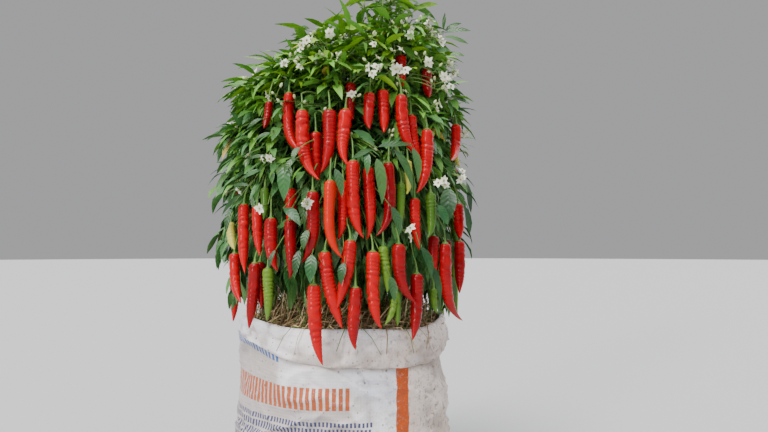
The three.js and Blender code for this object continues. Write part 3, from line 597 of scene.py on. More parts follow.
straw_finish = finish_of("dry_straw_stalks", Roughness=0.72, Specular_IOR_Level=0.25)
stalk_tone = layer(straw_finish, "Attribute", attribute_name="tone").outputs["Fac"]
straw_colour = steps_of(straw_finish, stalk_tone, (0.0, (0.05, 0.032, 0.017)), (0.3, (0.3, 0.2, 0.095)),
                        (0.6, (0.68, 0.48, 0.25)), (0.84, (0.93, 0.76, 0.5)), (0.9, (0.12, 0.22, 0.04)))
straw_grain = cloud_of(straw_finish, 260, stretch=(1, 1, 0.4))
straw_dark = steps_of(straw_finish, straw_grain, (0.3, (0.35, 0.35, 0.35)), (0.7, (1, 1, 1)))
wire(straw_finish, Base_Color=blend_of(straw_finish, 0.5, straw_colour, straw_dark, "MULTIPLY"))
raise_by(straw_finish, straw_grain, 0.0008)
straw_heap = piece("straw_heap", heap_points.reshape(-1, 3), [heap_faces], straw_finish,
                   marks={"tone": 0.07 + 0.44 * rumple(heap_points / 6, 33) ** 1.5})

# The loose stalks lie on the heap and across the rim. One in ten stands up instead, and the
# first few hang over the rim in front.
stalk = np.arange(LOOSE_STALKS)
stalk_turn = 2 * np.pi * chance(stalk, 41)
stalk_reach = 20 + 130 * chance(stalk, 42) ** 0.62
stalk_length = 28 + 84 * chance(stalk, 43) ** 1.5
stalk_heading = stalk_turn + np.pi / 2 + 2.6 * (chance(stalk, 44) - 0.5)
stalk_rise = np.radians(-4 + 34 * chance(stalk, 45) ** 2 + 52 * (chance(stalk, 46) > 0.72))
stalk_share = np.linspace(-0.5, 0.5, STALK_STEPS)[None]
stalk_curl = either(0.9, stalk, 47)[:, None]
heading = stalk_heading[:, None] + stalk_curl * stalk_share
run = (stalk_share * stalk_length[:, None]) * np.cos(stalk_rise)[:, None]
stalk_x = (stalk_reach * np.cos(stalk_turn))[:, None] + run * np.cos(heading)
stalk_y = (stalk_reach * np.sin(stalk_turn))[:, None] + run * np.sin(heading)
stalk_base = heap_height(stalk_reach) + 1.5 + 8 * chance(stalk, 48)
stalk_z = (stalk_base[:, None] + (stalk_share + 0.35) * stalk_length[:, None] * np.sin(stalk_rise)[:, None]
           - 9 * (2 * stalk_share) ** 2 * (stalk_length[:, None] / 90))
stalk_away = np.hypot(stalk_x, stalk_y)
stalk_z = np.maximum(stalk_z, np.minimum(heap_height(stalk_away), 400) + 0.5)
over_rim = np.clip((stalk_away - 152) / 8, 0, 1)
rim_crest = np.clip(1 - np.abs(stalk_away - 164) / 12, 0, 1)
stalk_z = np.maximum(stalk_z, 322 * over_rim + 13 * rim_crest * over_rim)
keep_in = np.minimum(1, np.where(chance(stalk, 52) > 0.94, 177, 151)[:, None] / np.maximum(stalk_away, 1))
stalk_paths = np.stack([stalk_x * keep_in, stalk_y * keep_in, stalk_z], -1)
stalk_radii = (0.5 + 0.85 * chance(stalk, 49) ** 2)[:, None] * np.linspace(1, 0.6, STALK_STEPS)[None]
standing = np.flatnonzero(chance(stalk, 53) > 0.9)
stand_share = np.linspace(0, 1, STALK_STEPS)[None, :, None]
stand_foot = stalk_paths[standing, 2] * [0.93, 0.93, 1] - [0, 0, 6]
stand_lean = either(0.45, standing[:, None], 54 + np.arange(3)) * [1, 1, 0] + [0, 0, 1]
stand_height = (38 + 62 * chance(standing, 57))[:, None, None]
stand_sway = either(0.3, standing[:, None], 58 + np.arange(3)) * [1, 1, 0]
stalk_paths[standing] = stand_foot[:, None] + stand_height * (
    stand_share * stand_lean[:, None] + stand_share ** 2 * stand_sway[:, None])
draped = np.arange(DRAPED_STALKS)
drape_start = np.radians(-104 + 7 * draped + either(7, draped, 61))[:, None]
drape_turn = drape_start + np.linspace(0, 1, STALK_STEPS) * either(0.34, draped, 62)[:, None]
drape_reach = np.array([134, 153, 165, 174.5, 179]) * slump(drape_turn, WALL_HEIGHT)
drape_height = (np.array([324, 331, 333.5, 323, 308]) + rim_wave(drape_turn, WALL_HEIGHT)
                - 16 * chance(draped, 63)[:, None] * [0, 0, 0, 0.3, 1])
stalk_paths[draped] = round_points(drape_reach, drape_turn, drape_height)
stalk_points, stalk_faces = rods(stalk_paths, stalk_radii, STALK_SIDES)
green_from = np.where(chance(stalk, 53) > 0.9, 0.3, 0.88)
stalk_tones = np.where(chance(stalk, 50) > green_from, 0.95, 0.15 + 0.78 * chance(stalk, 51) ** 1.2)
loose_straw = piece("loose_straw", stalk_points, stalk_faces, straw_finish,
                    marks={"tone": np.repeat(stalk_tones, STALK_STEPS * STALK_SIDES)})
for straw in (straw_heap, loose_straw):
    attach(straw, "root")
    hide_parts("straw_mulch")

# Stem and boughs. One woody stem, grey-brown and cracked at the foot, forks again and again
# with a swollen knuckle at each fork, and turns green and ribbed towards the branches.
GAP = 0.35
STEM_FOOT, STEM_STRAIGHT = 303.35, 361.2
FORK_RIGHT_TURN, FORK_LEFT_TURN = 20, 204
LIMB_RADII = (7.6, 6.2, 5, 3.9)
STEM_RADIUS, FOOT_FLARE = 9.0, 5
SECTOR, TURN = 45, -22.5
LIMB_STEPS, LIMB_SIDES, KNUCKLE_STEPS = 64, 16, 11
KNUCKLE_SIZES = np.array([10.2, 8.4, 8.4, 6.9, 6.9, 6.9, 6.9])
KNUCKLE_AGES = np.array([0.25, 0.4, 0.4, 0.6, 0.6, 0.6, 0.6])
UP = np.array([0.0, 0, 1])


def polar(azimuth, reach, height=0.0):
    """A point from its azimuth in degrees, its reach from the stem and its height."""
    turn = math.radians(azimuth)
    return np.array([reach * math.cos(turn), reach * math.sin(turn), height])


def bend(start, by, tip):
    """A curve that leaves start towards by and comes into tip from it, as four guide points."""
    return np.array([start, start + (by - start) * 2 / 3, tip + (by - tip) * 2 / 3, tip])


def along(curve, share):
    """Points on one curve or many at the given shares of it, by the cubic Bernstein weights."""
    share = np.atleast_1d(share)
    weights = [(1 - share) ** 3, 3 * share * (1 - share) ** 2, 3 * share ** 2 * (1 - share), share ** 3]
    return np.stack(weights, -1) @ np.asarray(curve)


def limb(start, tip, rise):
    """A limb's curve: from start to tip, lifted at its middle."""
    return bend(start, (start + tip) / 2 + UP * rise, tip)


first_fork = np.array([5.0, -4, 400])
fork_right, fork_left = polar(FORK_RIGHT_TURN, 40, 462), polar(FORK_LEFT_TURN, 42, 454)


def quarter_azimuth(quarter):
    """Where one of the four upper branches points."""
    return quarter * 90 + TURN


def outer_azimuth(sector):
    """Where one of the eight outer branches points."""
    return (sector + 0.5) * SECTOR + TURN


def third_fork(quarter):
    """The fork from which an upper branch and two outer ones go on."""
    return polar(quarter_azimuth(quarter) + either(5, 60, quarter), 76, 532)


def outer_tip(sector):
    """Where an outer branch enters its mass of foliage."""
    return polar(outer_azimuth(sector) + either(2, 61, sector), 112, 554)


def upper_tip(quarter):
    """Where an upper branch enters its mass of foliage."""
    return polar(quarter_azimuth(quarter) + either(6, 62, quarter), 62, 640)


def sectors_of(quarter):
    """The two outer branches that leave a quarter's fork."""
    return (2 * quarter + 7) % 8, 2 * quarter


# Each limb is its curve, its radius at the start and at the end, and how green it is.
stem_curve = bend(UP * STEM_FOOT, UP * STEM_STRAIGHT, first_fork)
limbs = [(stem_curve, STEM_RADIUS, LIMB_RADII[0], 0.0),
         (limb(first_fork, fork_right, 8), LIMB_RADII[0], LIMB_RADII[1], 0.25),
         (limb(first_fork, fork_left, 8), LIMB_RADII[0], LIMB_RADII[1], 0.25)]
outer_limbs, upper_limbs = {}, {}
for quarter in range(4):
    fork = third_fork(quarter)
    lower_fork = fork_right if quarter < 2 else fork_left
    limbs.append((limb(lower_fork, fork, -6), LIMB_RADII[1], LIMB_RADII[2], 0.5))
    upper_limbs[quarter] = limb(fork, upper_tip(quarter), 4)
    for sector in sectors_of(quarter):
        outer_limbs[sector] = limb(fork, outer_tip(sector), -5)
limbs += [(curve, LIMB_RADII[2], LIMB_RADII[3], 0.75)
          for curve in (*outer_limbs.values(), *upper_limbs.values())]

limb_share = np.linspace(0, 1, LIMB_STEPS)
limb_paths = np.stack([along(curve, limb_share) for curve, *_ in limbs])
limb_radii = np.stack([thick + (thin - thick) * limb_share for _, thick, thin, _ in limbs])
limb_radii[0] += FOOT_FLARE * np.exp(-14 * limb_share)
limb_points, limb_faces = rods(limb_paths, limb_radii, LIMB_SIDES)
limb_centres = np.repeat(limb_paths.reshape(-1, 3), LIMB_SIDES, 0)
limb_age = np.repeat(np.array([age for *_, age in limbs]), LIMB_STEPS * LIMB_SIDES)
bark_relief = (0.12 * (fold(limb_points / [2.6, 2.6, 14], 61, 2) - 0.4)
               + 0.1 * (rumple(limb_points / 9, 62) - 0.5))
limb_points = limb_centres + (limb_points - limb_centres) * (1 + bark_relief)[:, None]

knuckle_share = np.linspace(-1, 1, KNUCKLE_STEPS)
knuckle_spots = np.array([first_fork, fork_right, fork_left, *map(third_fork, range(4))])
knuckle_paths = knuckle_spots[:, None] + (KNUCKLE_SIZES[:, None] * knuckle_share)[..., None] * UP
knuckle_radii = KNUCKLE_SIZES[:, None] * np.sqrt(1 - (0.995 * knuckle_share) ** 2)[None]
knuckle_points, knuckle_faces = rods(knuckle_paths, knuckle_radii, LIMB_SIDES)
knuckle_age = np.repeat(KNUCKLE_AGES, KNUCKLE_STEPS * LIMB_SIDES)

bark_finish = finish_of("stem_bark", Roughness=0.62, Specular_IOR_Level=0.35)
bark_age = layer(bark_finish, "Attribute", attribute_name="age").outputs["Fac"]
bark_cloud = cloud_of(bark_finish, 90, stretch=(1, 1, 0.25), detail=5)
bark_share = sum_of(bark_finish, "ADD", bark_age, sum_of(bark_finish, "MULTIPLY_ADD", bark_cloud, 0.5, -0.25))
bark_colour = steps_of(bark_finish, bark_share, (0.0, (0.13, 0.1, 0.07)), (0.3, (0.15, 0.14, 0.07)),
                       (0.55, (0.12, 0.17, 0.05)), (0.9, (0.11, 0.2, 0.045)))
wire(bark_finish, Base_Color=bark_colour)
raise_by(bark_finish, bark_cloud, 0.001)
stem_and_boughs = piece(
    "stem_and_boughs", np.concatenate([limb_points, knuckle_points]),
    limb_faces + [part + len(limb_points) for part in knuckle_faces], bark_finish,
    marks={"age": np.concatenate([limb_age, knuckle_age])})
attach(stem_and_boughs, "root")
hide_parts("main_stem", "main_bough_right", "main_bough_left",
            *(f"bough_{q}" for q in range(1, 5)), *(f"outer_branch_{s}" for s in range(1, 9)),
            *(f"upper_branch_{q}" for q in range(1, 5)))

# Growth. Eight outer masses and four upper ones, each with its own stem on the end of its
# branch. Twigs grow out of a mass's stem to the outline of the whole plant: some arch over
# with a fruit at the end, the others carry leaves, and the upper ones flowers at their tips.
CROWN_RADIUS, SHOULDER, DOME_HEIGHT, RIGHT_RISE, LEFT_DIP = 200, 545, 275, 0.62, 34
TOP_LEAD = (26, 0, 0, 0)
LOWEST_LEVEL, ROW_STEP, COLUMN_STEP, FRUITING_TWIGS, EXTRA_FRUIT = 428, 66, 21, 10, 4
LEAFY_TWIGS, DEPTHS, HANGING_TWIGS, INNER_TWIGS = 78, (14, 36, 66), 18, 100
TOP_SHOOTS, TOP_REACHES, FINE_SHOOTS = 7, (104, 58, 82), 20
FRUIT_LENGTH, FRUIT_HOOK, STALK_LENGTH = 104, 17, 24
LEAF_LENGTH, LEAF_WIDTH = 47, 12.5
GOLDEN_ANGLE, GOLDEN_SHARE = 137.5, 0.618
FRONT, FRONT_HALF = -90, 95
PHOTO_SECTORS = (5, 6, 7)
YOUNG, UPPER, MIDDLE, SHADED, TURNING = range(5)
RED, DARK_RED, ORANGE_RED, GREEN, YELLOW = range(5)

# Fruit on the side that faces the camera: the shoulder's turn from the front in degrees and
# height in mm, how far in from the outline it hangs, the tip's turn and height, how far its
# middle bows to the right, and its colour.
FRONT_FRUIT = (
    (43, 730, 26, 37, 676, 0, RED), (60, 717, 16, 52, 665, 2, RED), (8, 675, 26, 9, 618, -3, DARK_RED),
    (-35, 650, 10, -33, 608, -3, RED), (-24, 660, 12, -12, 567, -11, RED), (-14, 629, 3, -5, 530, -6, RED),
    (-2, 629, 8, -5, 540, 4, RED), (5, 629, 5, 6, 550, -9, RED), (-9, 600, 22, -7, 532, 0, RED),
    (16, 655, 7, 15, 601, -4, RED), (24, 664, 16, 22, 599, 2, RED), (31, 656, 3, 37, 568, -5, RED),
    (39, 632, 17, 41, 568, 2, RED), (44, 611, 3, 35, 516, 5, RED), (80, 640, 0, 57, 570, 6, RED),
    (-44, 503, 5, -40, 405, -2, RED), (-36, 499, 8, -32, 429, 1, RED), (-27, 481, 4, -22, 409, -4, RED),
    (-18, 478, 4, -17, 399, 5, RED), (-8, 516, 1, -12, 420, 8, RED), (-21, 523, 24, -18, 438, 0, RED),
    (-1, 530, 0, 4, 427, -10, ORANGE_RED), (4, 531, 17, 2, 451, 4, RED), (8, 557, 2, 12, 453, -5, RED),
    (15, 551, 13, 14, 451, 7, RED), (23, 557, 4, 17, 456, 13, DARK_RED), (37, 510, 10, 38, 438, 1, RED),
    (50, 458, 11, 49, 394, -5, RED), (54, 448, 0, 70, 330, -16, RED), (74, 452, 1, 66, 372, -2, RED),
    (76, 511, 4, 72, 454, 3, RED), (-51, 433, 4, -42, 363, -2, RED), (-35, 420, 2, -36, 330, -4, RED),
    (-36, 421, 15, -33, 357, 2, DARK_RED), (-3, 436, 3, 4, 335, 8, RED), (7, 451, 1, 2, 361, -6, RED),
    (16, 436, 1, 19, 334, -5, RED), (27, 446, 0, 34, 366, -7, RED), (37, 405, 5, 33, 315, 2, RED),
    (-7, 393, -3, -3, 289, -1, RED), (9, 389, -1, 9, 308, -6, RED), (86, 454, 24, 82, 395, -3, DARK_RED),
    (45, 519, 4, 41, 454, 8, GREEN), (30, 530, 10, 29, 473, -3, GREEN), (33, 562, 8, 31, 514, 5, YELLOW),
    (21, 443, 7, 22, 381, 6, GREEN), (28, 380, 10, 27, 335, 1, GREEN), (26, 372, 8, 21, 338, -2, GREEN),
    (-29, 413, 7, -28, 342, 4, GREEN), (-32, 524, 10, -31, 479, 2, GREEN), (80, 608, 6, 78, 570, -3, YELLOW),
    (-60, 479, 8, -50, 438, 3, YELLOW), (84, 498, 12, 82, 444, 2, GREEN), (49, 382, 9, 49, 347, -3, GREEN))

# Flower clusters on that side: the turn from the front, the height and how many flowers.
FRONT_FLOWERS = (
    (-26, 703, 2), (-16, 696, 1), (-8, 710, 1), (-1, 736, 2), (18, 735, 1), (38, 757, 2),
    (60, 787, 3), (61, 772, 2), (61, 762, 2), (59, 689, 2), (53, 681, 1), (87, 730, 3), (54, 703, 1),
    (54, 675, 1), (-19, 724, 1), (-16, 739, 3), (-12, 744, 2), (17, 696, 3), (24, 695, 3), (16, 684, 2),
    (67, 726, 1), (30, 719, 1), (-25, 551, 2), (-43, 524, 2),
    (45, 535, 3), (62, 550, 2), (64, 565, 1), (-11, 494, 3), (29, 462, 2), (47, 644, 2), (2, 705, 1),
    (8, 642, 1), (-28, 498, 1), (87, 598, 1), (87, 631, 2), (-28, 654, 1), (-34, 574, 1), (32, 687, 1),
    (46, 716, 1))

# Leaves that stand out singly on that side and the topmost ones: foot, tip, width and colour.
FRONT_LEAVES = (
    (114, -40, 821, 153, -46, 835, 18, YOUNG), (109, -45, 822, 90, -51, 832, 13, YOUNG),
    (81, -50, 816, 49, -56, 822, 12, YOUNG), (93, -62, 806, 63, -68, 797, 12, UPPER),
    (59, -85, 772, 2, -91, 773, 18, YOUNG), (68, -75, 772, 91, -81, 783, 12, YOUNG),
    (163, -55, 781, 203, -61, 783, 14, SHADED), (161, -62, 773, 196, -68, 759, 14, SHADED),
    (166, -45, 788, 190, -51, 800, 13, SHADED), (164, -50, 787, 165, -56, 813, 11, SHADED),
    (156, -45, 794, 142, -51, 807, 11, UPPER), (169, -70, 740, 191, -76, 739, 12, SHADED),
    (148, -66, 749, 169, -72, 747, 14, MIDDLE), (-110, -40, 728, -164, -46, 727, 13, UPPER),
    (-80, -66, 709, -133, -72, 712, 12, MIDDLE), (-82, -74, 702, -149, -80, 683, 14, MIDDLE),
    (-85, -92, 689, -113, -98, 660, 13, MIDDLE), (-71, -104, 697, -80, -110, 673, 18, MIDDLE),
    (-89, -60, 732, -108, -66, 733, 8, SHADED), (-76, -74, 719, -69, -80, 744, 14, YOUNG),
    (-20, -78, 757, -12, -84, 777, 13, YOUNG), (25, -92, 752, -17, -98, 738, 19, YOUNG),
    (-21, -88, 746, -50, -94, 738, 10, UPPER), (10, -100, 731, -19, -106, 722, 14, MIDDLE),
    (95, -100, 744, 112, -106, 722, 20, UPPER), (118, -60, 798, 136, -66, 804, 12, UPPER),
    (80, -95, 758, 56, -101, 743, 16, MIDDLE), (123, -80, 756, 142, -86, 743, 13, MIDDLE),
    (33, -112, 712, 8, -118, 705, 13, MIDDLE), (-12, -104, 715, -38, -110, 716, 12, UPPER),
    (-66, -191, 549, -64, -200, 504, 22, MIDDLE), (57, -193, 561, 63, -200, 502, 19, SHADED),
    (45, -197, 568, 46, -204, 537, 12, MIDDLE), (79, -185, 574, 106, -182, 523, 15, SHADED),
    (106, -170, 579, 114, -176, 532, 14, SHADED), (162, -121, 527, 160, -136, 479, 30, SHADED),
    (143, -143, 501, 156, -141, 474, 20, MIDDLE), (-149, -136, 499, -153, -144, 463, 12, SHADED),
    (-131, -154, 513, -163, -132, 489, 11, SHADED), (-47, -196, 559, -63, -200, 541, 12, SHADED),
    (-26, -200, 432, -27, -208, 396, 20, MIDDLE), (-66, -191, 493, -40, -206, 471, 17, MIDDLE),
    (117, -164, 443, 134, -162, 402, 16, SHADED), (126, -158, 421, 148, -149, 368, 15, SHADED),
    (56, -193, 574, 29, -205, 595, 15, MIDDLE), (59, -192, 574, 103, -182, 577, 11, SHADED),
    (55, -194, 571, 27, -208, 554, 10, SHADED), (198, -39, 549, 210, -10, 500, 16, SHADED),
    (-97, -177, 545, -124, -169, 536, 9, MIDDLE), (-88, -181, 564, -119, -172, 560, 7, SHADED),
    (3, -202, 545, 12, -210, 507, 14, SHADED), (77, -187, 496, 88, -191, 461, 15, SHADED),
    (-30, -200, 464, -37, -207, 439, 14, SHADED), (189, -71, 506, 202, -59, 465, 18, SHADED),
    (-116, -166, 525, -142, -155, 526, 7, SHADED), (-43, -196, 574, -53, -203, 555, 11, SHADED),
    (-42, -197, 438, -47, -205, 404, 14, SHADED), (-76, -187, 438, -83, -193, 414, 8, SHADED),
    (-99, -168, 618, -121, -165, 606, 8, SHADED), (-85, -179, 596, -110, -176, 586, 7, SHADED),
    (17, -201, 422, 12, -210, 394, 14, SHADED), (76, -187, 403, 81, -194, 371, 14, SHADED))


def outline_point(azimuth, level, inset=0.0):
    """A point of the plant's outline: a cylinder up to the shoulder and a dome over it, whose
    right-hand side stands higher."""
    up = min(1, max(0, (level - SHOULDER) / DOME_HEIGHT))
    spot = polar(azimuth, max(0, CROWN_RADIUS * math.sqrt(1 - up * up) - inset), level)
    spot[2] += RIGHT_RISE * max(0, spot[0]) * ease(up, 0, 0.9)
    return spot


def outline_at(azimuth, height, inset=0.0):
    """The outline's point whose own height is the one given, found by stepping the level."""
    level = height
    for _ in range(8):
        level += height - outline_point(azimuth, level, inset)[2]
    return outline_point(azimuth, level, inset)


def left_dip(spot):
    """How much lower the top of the plant is on its left-hand side."""
    return UP * LEFT_DIP * ease(-spot[0], 5, 105)


def mass_at(azimuth):
    """The number of the outer mass that stands at an azimuth."""
    return int(round((azimuth - TURN) / SECTOR - 0.5)) % 8


def spread_evenly(number, start=0.0):
    """From minus 1 to 1, evenly spread as the number counts up: steps of the golden ratio."""
    return 2 * ((number * GOLDEN_SHARE + start) % 1) - 1


def mass_stem(branch, by, to):
    """The curve of a mass's own stem, which carries on from its branch's tip."""
    ahead = (branch[3] - branch[2]) / np.linalg.norm(branch[3] - branch[2])
    start = branch[3] + ahead * GAP
    return np.array([start, start + ahead * 0.3 * np.linalg.norm(by - start), by, to])


mass_stems = []
for sector in range(8):
    azimuth = outer_azimuth(sector)
    mass_stems.append(mass_stem(outer_limbs[sector], outline_point(azimuth, 630, 62),
                                outline_point(azimuth, 705, 40)))
for quarter in range(4):
    azimuth = quarter_azimuth(quarter)
    mass_stems.append(mass_stem(upper_limbs[quarter], polar(azimuth, 72, 700),
                                polar(azimuth, 78, 752 + TOP_LEAD[quarter])))

twigs, fruits, leaves, flowers, buds = [], [], [], [], []


def grow_twig(stem, share, lift, end, thick=1.7):
    """A twig from a share of a stem to its end, lifted on the way."""
    start = along(stem, min(0.98, max(0.02, share)))[0]
    curve = bend(start, start + (end - start) * 0.55 + lift, end)
    twigs.append((curve, thick))
    return curve


def grow_leaf(foot, azimuth, fall, scale, slim, tint, *keys):
    """A leaf on its own short stalk: where it starts, its heading, how steeply it falls, its
    size, how slim it is and its colour, each a little off by chance."""
    leaves.append((*foot, azimuth + either(20, *keys, 1), fall + either(25, *keys, 2),
                   LEAF_LENGTH * scale * (0.76 + 0.46 * chance(*keys, 3)),
                   LEAF_WIDTH * scale * slim * (0.8 + 0.42 * chance(*keys, 4)),
                   either(0.6, *keys, 5), either(1, *keys, 6), tint, chance(*keys, 7), 1))


def set_leaf(foot, tip, width, tint, *keys):
    """A leaf from its foot to its tip, rolled so that its upper face looks to the front."""
    reach = tip - foot
    ahead = reach / np.linalg.norm(reach)
    azimuth, fall = math.atan2(ahead[1], ahead[0]), math.asin(ahead[2])
    level_side = np.array([math.sin(azimuth), -math.cos(azimuth), 0])
    roll = 0.8 * math.atan2(level_side[1], -np.cross(level_side, ahead)[1])
    slim = 0.8 if foot[2] < 690 else 0.66
    # Placed leaves lower down are darker, as painted shade; the rest of their shade is chance.
    shade = 0.5 * chance(*keys, 7) ** 2 - 0.3 + 0.34 * ease(foot[2], 470, 640)
    leaves.append((*foot, math.degrees(azimuth), math.degrees(fall) + 8, 1.06 * np.linalg.norm(reach),
                   slim * width, roll, either(0.5, *keys, 6), tint, shade, 0.25))


def grow_flowers(spot, outward, count, *keys):
    """A cluster of open flowers, each on a thin stalk, facing out and up or down by chance."""
    for flower in range(count):
        aside = polar(outward + 90, either(12 if count > 1 else 3, *keys, flower, 8),
                      either(9, *keys, flower, 9))
        aside = aside + polar(outward, 3 + 7 * chance(*keys, flower, 10))
        facing = polar(outward + either(75, *keys, flower, 11), 1, either(0.95, *keys, flower, 12))
        flowers.append((*(spot + aside), *(facing / np.linalg.norm(facing)),
                        0.8 + 0.36 * chance(*keys, flower, 13), chance(*keys, flower, 14)))
        by = spot + 0.4 * aside + UP * 3
        twigs.append((bend(spot - polar(outward, 10, -2), by, spot + aside - facing * 1.5), 0.75))


def grow_buds(spot, outward, count, *keys):
    """Closed buds round a shoot's tip, each on its own thin stalk."""
    for bud in range(count):
        lean = polar(outward + 360 * chance(*keys, bud, 26), 5 + 6 * chance(*keys, bud, 27),
                     2 + 9 * chance(*keys, bud, 28))
        buds.append((*(spot + lean), *(lean / np.linalg.norm(lean))))
        twigs.append((bend(spot - UP * 3, spot + 0.3 * lean + UP * 2, spot + lean), 0.7))


def tint_at(level, inset, *keys):
    """The colour of a leaf by its height and how far in it is: light on top, dark inside.
    Besides the young leaves' own paler green, this is painted light on top and painted shade
    inside.
    """
    draw = chance(*keys, 15)
    if inset > 52:
        return SHADED if level < 670 else MIDDLE
    if draw > 0.994:
        return TURNING
    height = (level - 470) / 250 + either(0.4, *keys, 16)
    if height > 1.1:
        return YOUNG
    return UPPER if height > 0.55 else SHADED if draw < 0.25 else MIDDLE


def dress(curve, outward, count, scale, fall, level, inset, *keys, from_share=0.3):
    """Leaves along a twig, turned by the golden angle from each to the next and drawn outwards."""
    slim = 1.1 if level < 690 else 0.85
    for leaf in range(count):
        share = from_share + (1 - from_share) * (leaf + 0.6) / count
        spin = (leaf * GOLDEN_ANGLE + 360 * chance(*keys, 17)) % 360 - 180
        grow_leaf(along(curve, share)[0], outward + 0.7 * spin, fall - 14 * abs(spin) / 180,
                  scale * (1 - 0.2 * share), slim, tint_at(level, inset, *keys, leaf), *keys, leaf)


def spread_round(tip, outward, count, scale, rise, level, *keys):
    """Leaves round a shoot's tip like the spokes of a wheel, with buds in their middle."""
    for leaf in range(count):
        size = scale * (0.7 + 0.5 * chance(*keys, leaf, 19))
        grow_leaf(tip, outward + 360 * leaf / count, rise + either(16, *keys, leaf, 18), size, 0.82,
                  tint_at(level, 0, *keys, leaf), *keys, leaf)
    grow_buds(tip, outward, int(3.4 * chance(*keys, 20)), *keys, 20)


def hang_fruit(shoulder, tip, bow, colour, outward, twig_end, *keys):
    """A fruit from its shoulder to its tip: it drops straight at first and then bends to its
    tip. Each fruit is kept with its girth, its colour, a number of its own and its twig's end."""
    drop = np.linalg.norm(tip - shoulder)
    by = shoulder + (tip - shoulder) * [0.2, 0.2, 0.78] + polar(outward + 90, 1.2 * bow)
    guides = np.array([shoulder, shoulder - UP * 0.36 * drop, by, tip])
    girth = 8.5 if drop > 75 else 8.1 if drop > 50 else 6
    if colour in (GREEN, YELLOW, ORANGE_RED):
        girth *= 0.87
    fruits.append((guides, girth * (0.9 + 0.2 * chance(*keys, 22)), colour, chance(*keys, 23), twig_end))


for row, (turn, height, inset, tip_turn, tip_height, bow, colour) in enumerate(FRONT_FRUIT):
    outward = FRONT + turn
    shoulder, tip = outline_at(outward, height, inset + 6), outline_at(FRONT + tip_turn, tip_height, inset)
    stalk_top = shoulder + UP * STALK_LENGTH * (0.8 + 0.5 * chance(101, row, 24))
    end = stalk_top - polar(outward + either(40, 101, row, 25), 7)
    share = min(0.95, max(0.05, (height - 415) / 330))
    curve = grow_twig(mass_stems[mass_at(outward)], share, polar(outward, 4, 26), end)
    hang_fruit(shoulder, tip, bow, colour, outward, end, 101, row)
    dress(curve, outward, 2, 0.8, -48, height, 30, 102, row, from_share=0.55)

# Fruit on the other sides, in rows with some between them, all by chance.
for sector in range(8):
    azimuth = outer_azimuth(sector)
    for twig in range(FRUITING_TWIGS + EXTRA_FRUIT):
        extra = twig >= FRUITING_TWIGS
        outward = azimuth + ((twig % 2) - 0.5) * COLUMN_STEP + (2.5 if twig // 2 % 2 else -2.5)
        level = LOWEST_LEVEL + twig * ROW_STEP / 2 + either(7, sector, twig, 5)
        if extra:
            outward, level = azimuth + either(19, sector, twig, 31), 470 + 230 * chance(sector, twig, 32)
        if abs((outward - FRONT + 180) % 360 - 180) < FRONT_HALF:
            continue
        end = outline_point(outward, level, 4 + 16 * chance(sector, twig, 4) + 14 * extra)
        curve = grow_twig(mass_stems[sector], 0.05 + 0.09 * (twig % 10), polar(azimuth, 6, 22), end)
        length = (FRUIT_LENGTH + STALK_LENGTH) * (0.8 + 0.34 * chance(sector, twig, 4))
        length = length * (0.8 if extra else 1)
        hook = polar(outward + either(110, sector, twig, 7), FRUIT_HOOK * chance(sector, twig, 6))
        tip = end + polar(outward, 5, -0.97 * length) + hook
        draw = chance(sector, twig, 33)
        colour = GREEN if draw < 0.12 else DARK_RED if draw < 0.22 else ORANGE_RED if draw < 0.3 else RED
        shoulder, bow = end + polar(outward, 3, -STALK_LENGTH), either(11, sector, twig, 21)
        hang_fruit(shoulder, tip, bow, colour, outward, end, 103, sector, twig)
        dress(curve, outward, 2, 0.85, -52, level, 30, 104, sector, twig, from_share=0.55)

# Leafy twigs of the outer masses, in three depths, and the low ones that hang under them.
# Facing the camera, the outermost ones below the shoulder leave room for the fruit.
for sector in range(8):
    azimuth = outer_azimuth(sector)
    photographed = sector in PHOTO_SECTORS
    for twig in range(LEAFY_TWIGS):
        depth, rise = twig % 3, (twig + 0.5) / LEAFY_TWIGS
        level = 412 + 318 * rise + either(9, sector, twig, 34)
        outward = azimuth + 23 * spread_evenly(twig, 0.3 * sector) + either(4, sector, twig, 35)
        inset = DEPTHS[depth] + either(9, sector, twig, 36)
        if depth == 0 and photographed and level < 655:
            inset = inset + 14
        end = outline_point(outward, level, inset)
        curve = grow_twig(mass_stems[sector], (level - 405) / 350, polar(azimuth, 4, 14), end, 1.5)
        fall = -60 + 50 * rise + 8 * depth
        dress(curve, outward, 12, 1.04 - 0.06 * rise, fall, level, inset, 105, sector, twig)
        if depth == 0 and level > 560:
            spread_round(end, outward, 6, 0.85, -12, level, 116, sector, twig)
            if level > 620 and chance(sector, twig, 37) < 0.7 and not photographed:
                count = 1 + int(2.4 * chance(sector, twig, 38))
                grow_flowers(end + UP * 6, outward, count, 106, sector, twig)
    for twig in range(HANGING_TWIGS):
        outward = azimuth + 23 * spread_evenly(twig, 0.17 * sector)
        inset = 22 + 82 * (twig + 0.5) / HANGING_TWIGS
        end = outline_point(outward, (388 if photographed else 366) + 58 * chance(sector, twig, 39), inset)
        curve = grow_twig(mass_stems[sector], 0.03, polar(outward, 12, 10), end, 1.4)
        dress(curve, outward, 13, 1.1, -70, 420, inset + 24, 117, sector, twig, from_share=0.4)
    for shoot, aside in enumerate((-18, -9, 0, 9, 18)):
        end = outline_point(azimuth + aside, 720 + either(26, sector, 90 + shoot),
                            10 + 16 * chance(sector, 80 + shoot))
        end = end - 0.6 * left_dip(end)
        curve = grow_twig(mass_stems[sector], 0.76 + 0.05 * shoot, polar(azimuth, 2, 6), end)
        dress(curve, azimuth + aside, 8, 0.9, -16, 720, 0, 107, sector, shoot)
        spread_round(end, azimuth + aside, 6, 0.86, -6, 735, 118, sector, shoot)
        if not photographed:
            grow_flowers(end + UP * 6, azimuth + aside, 2, 108, sector, shoot)

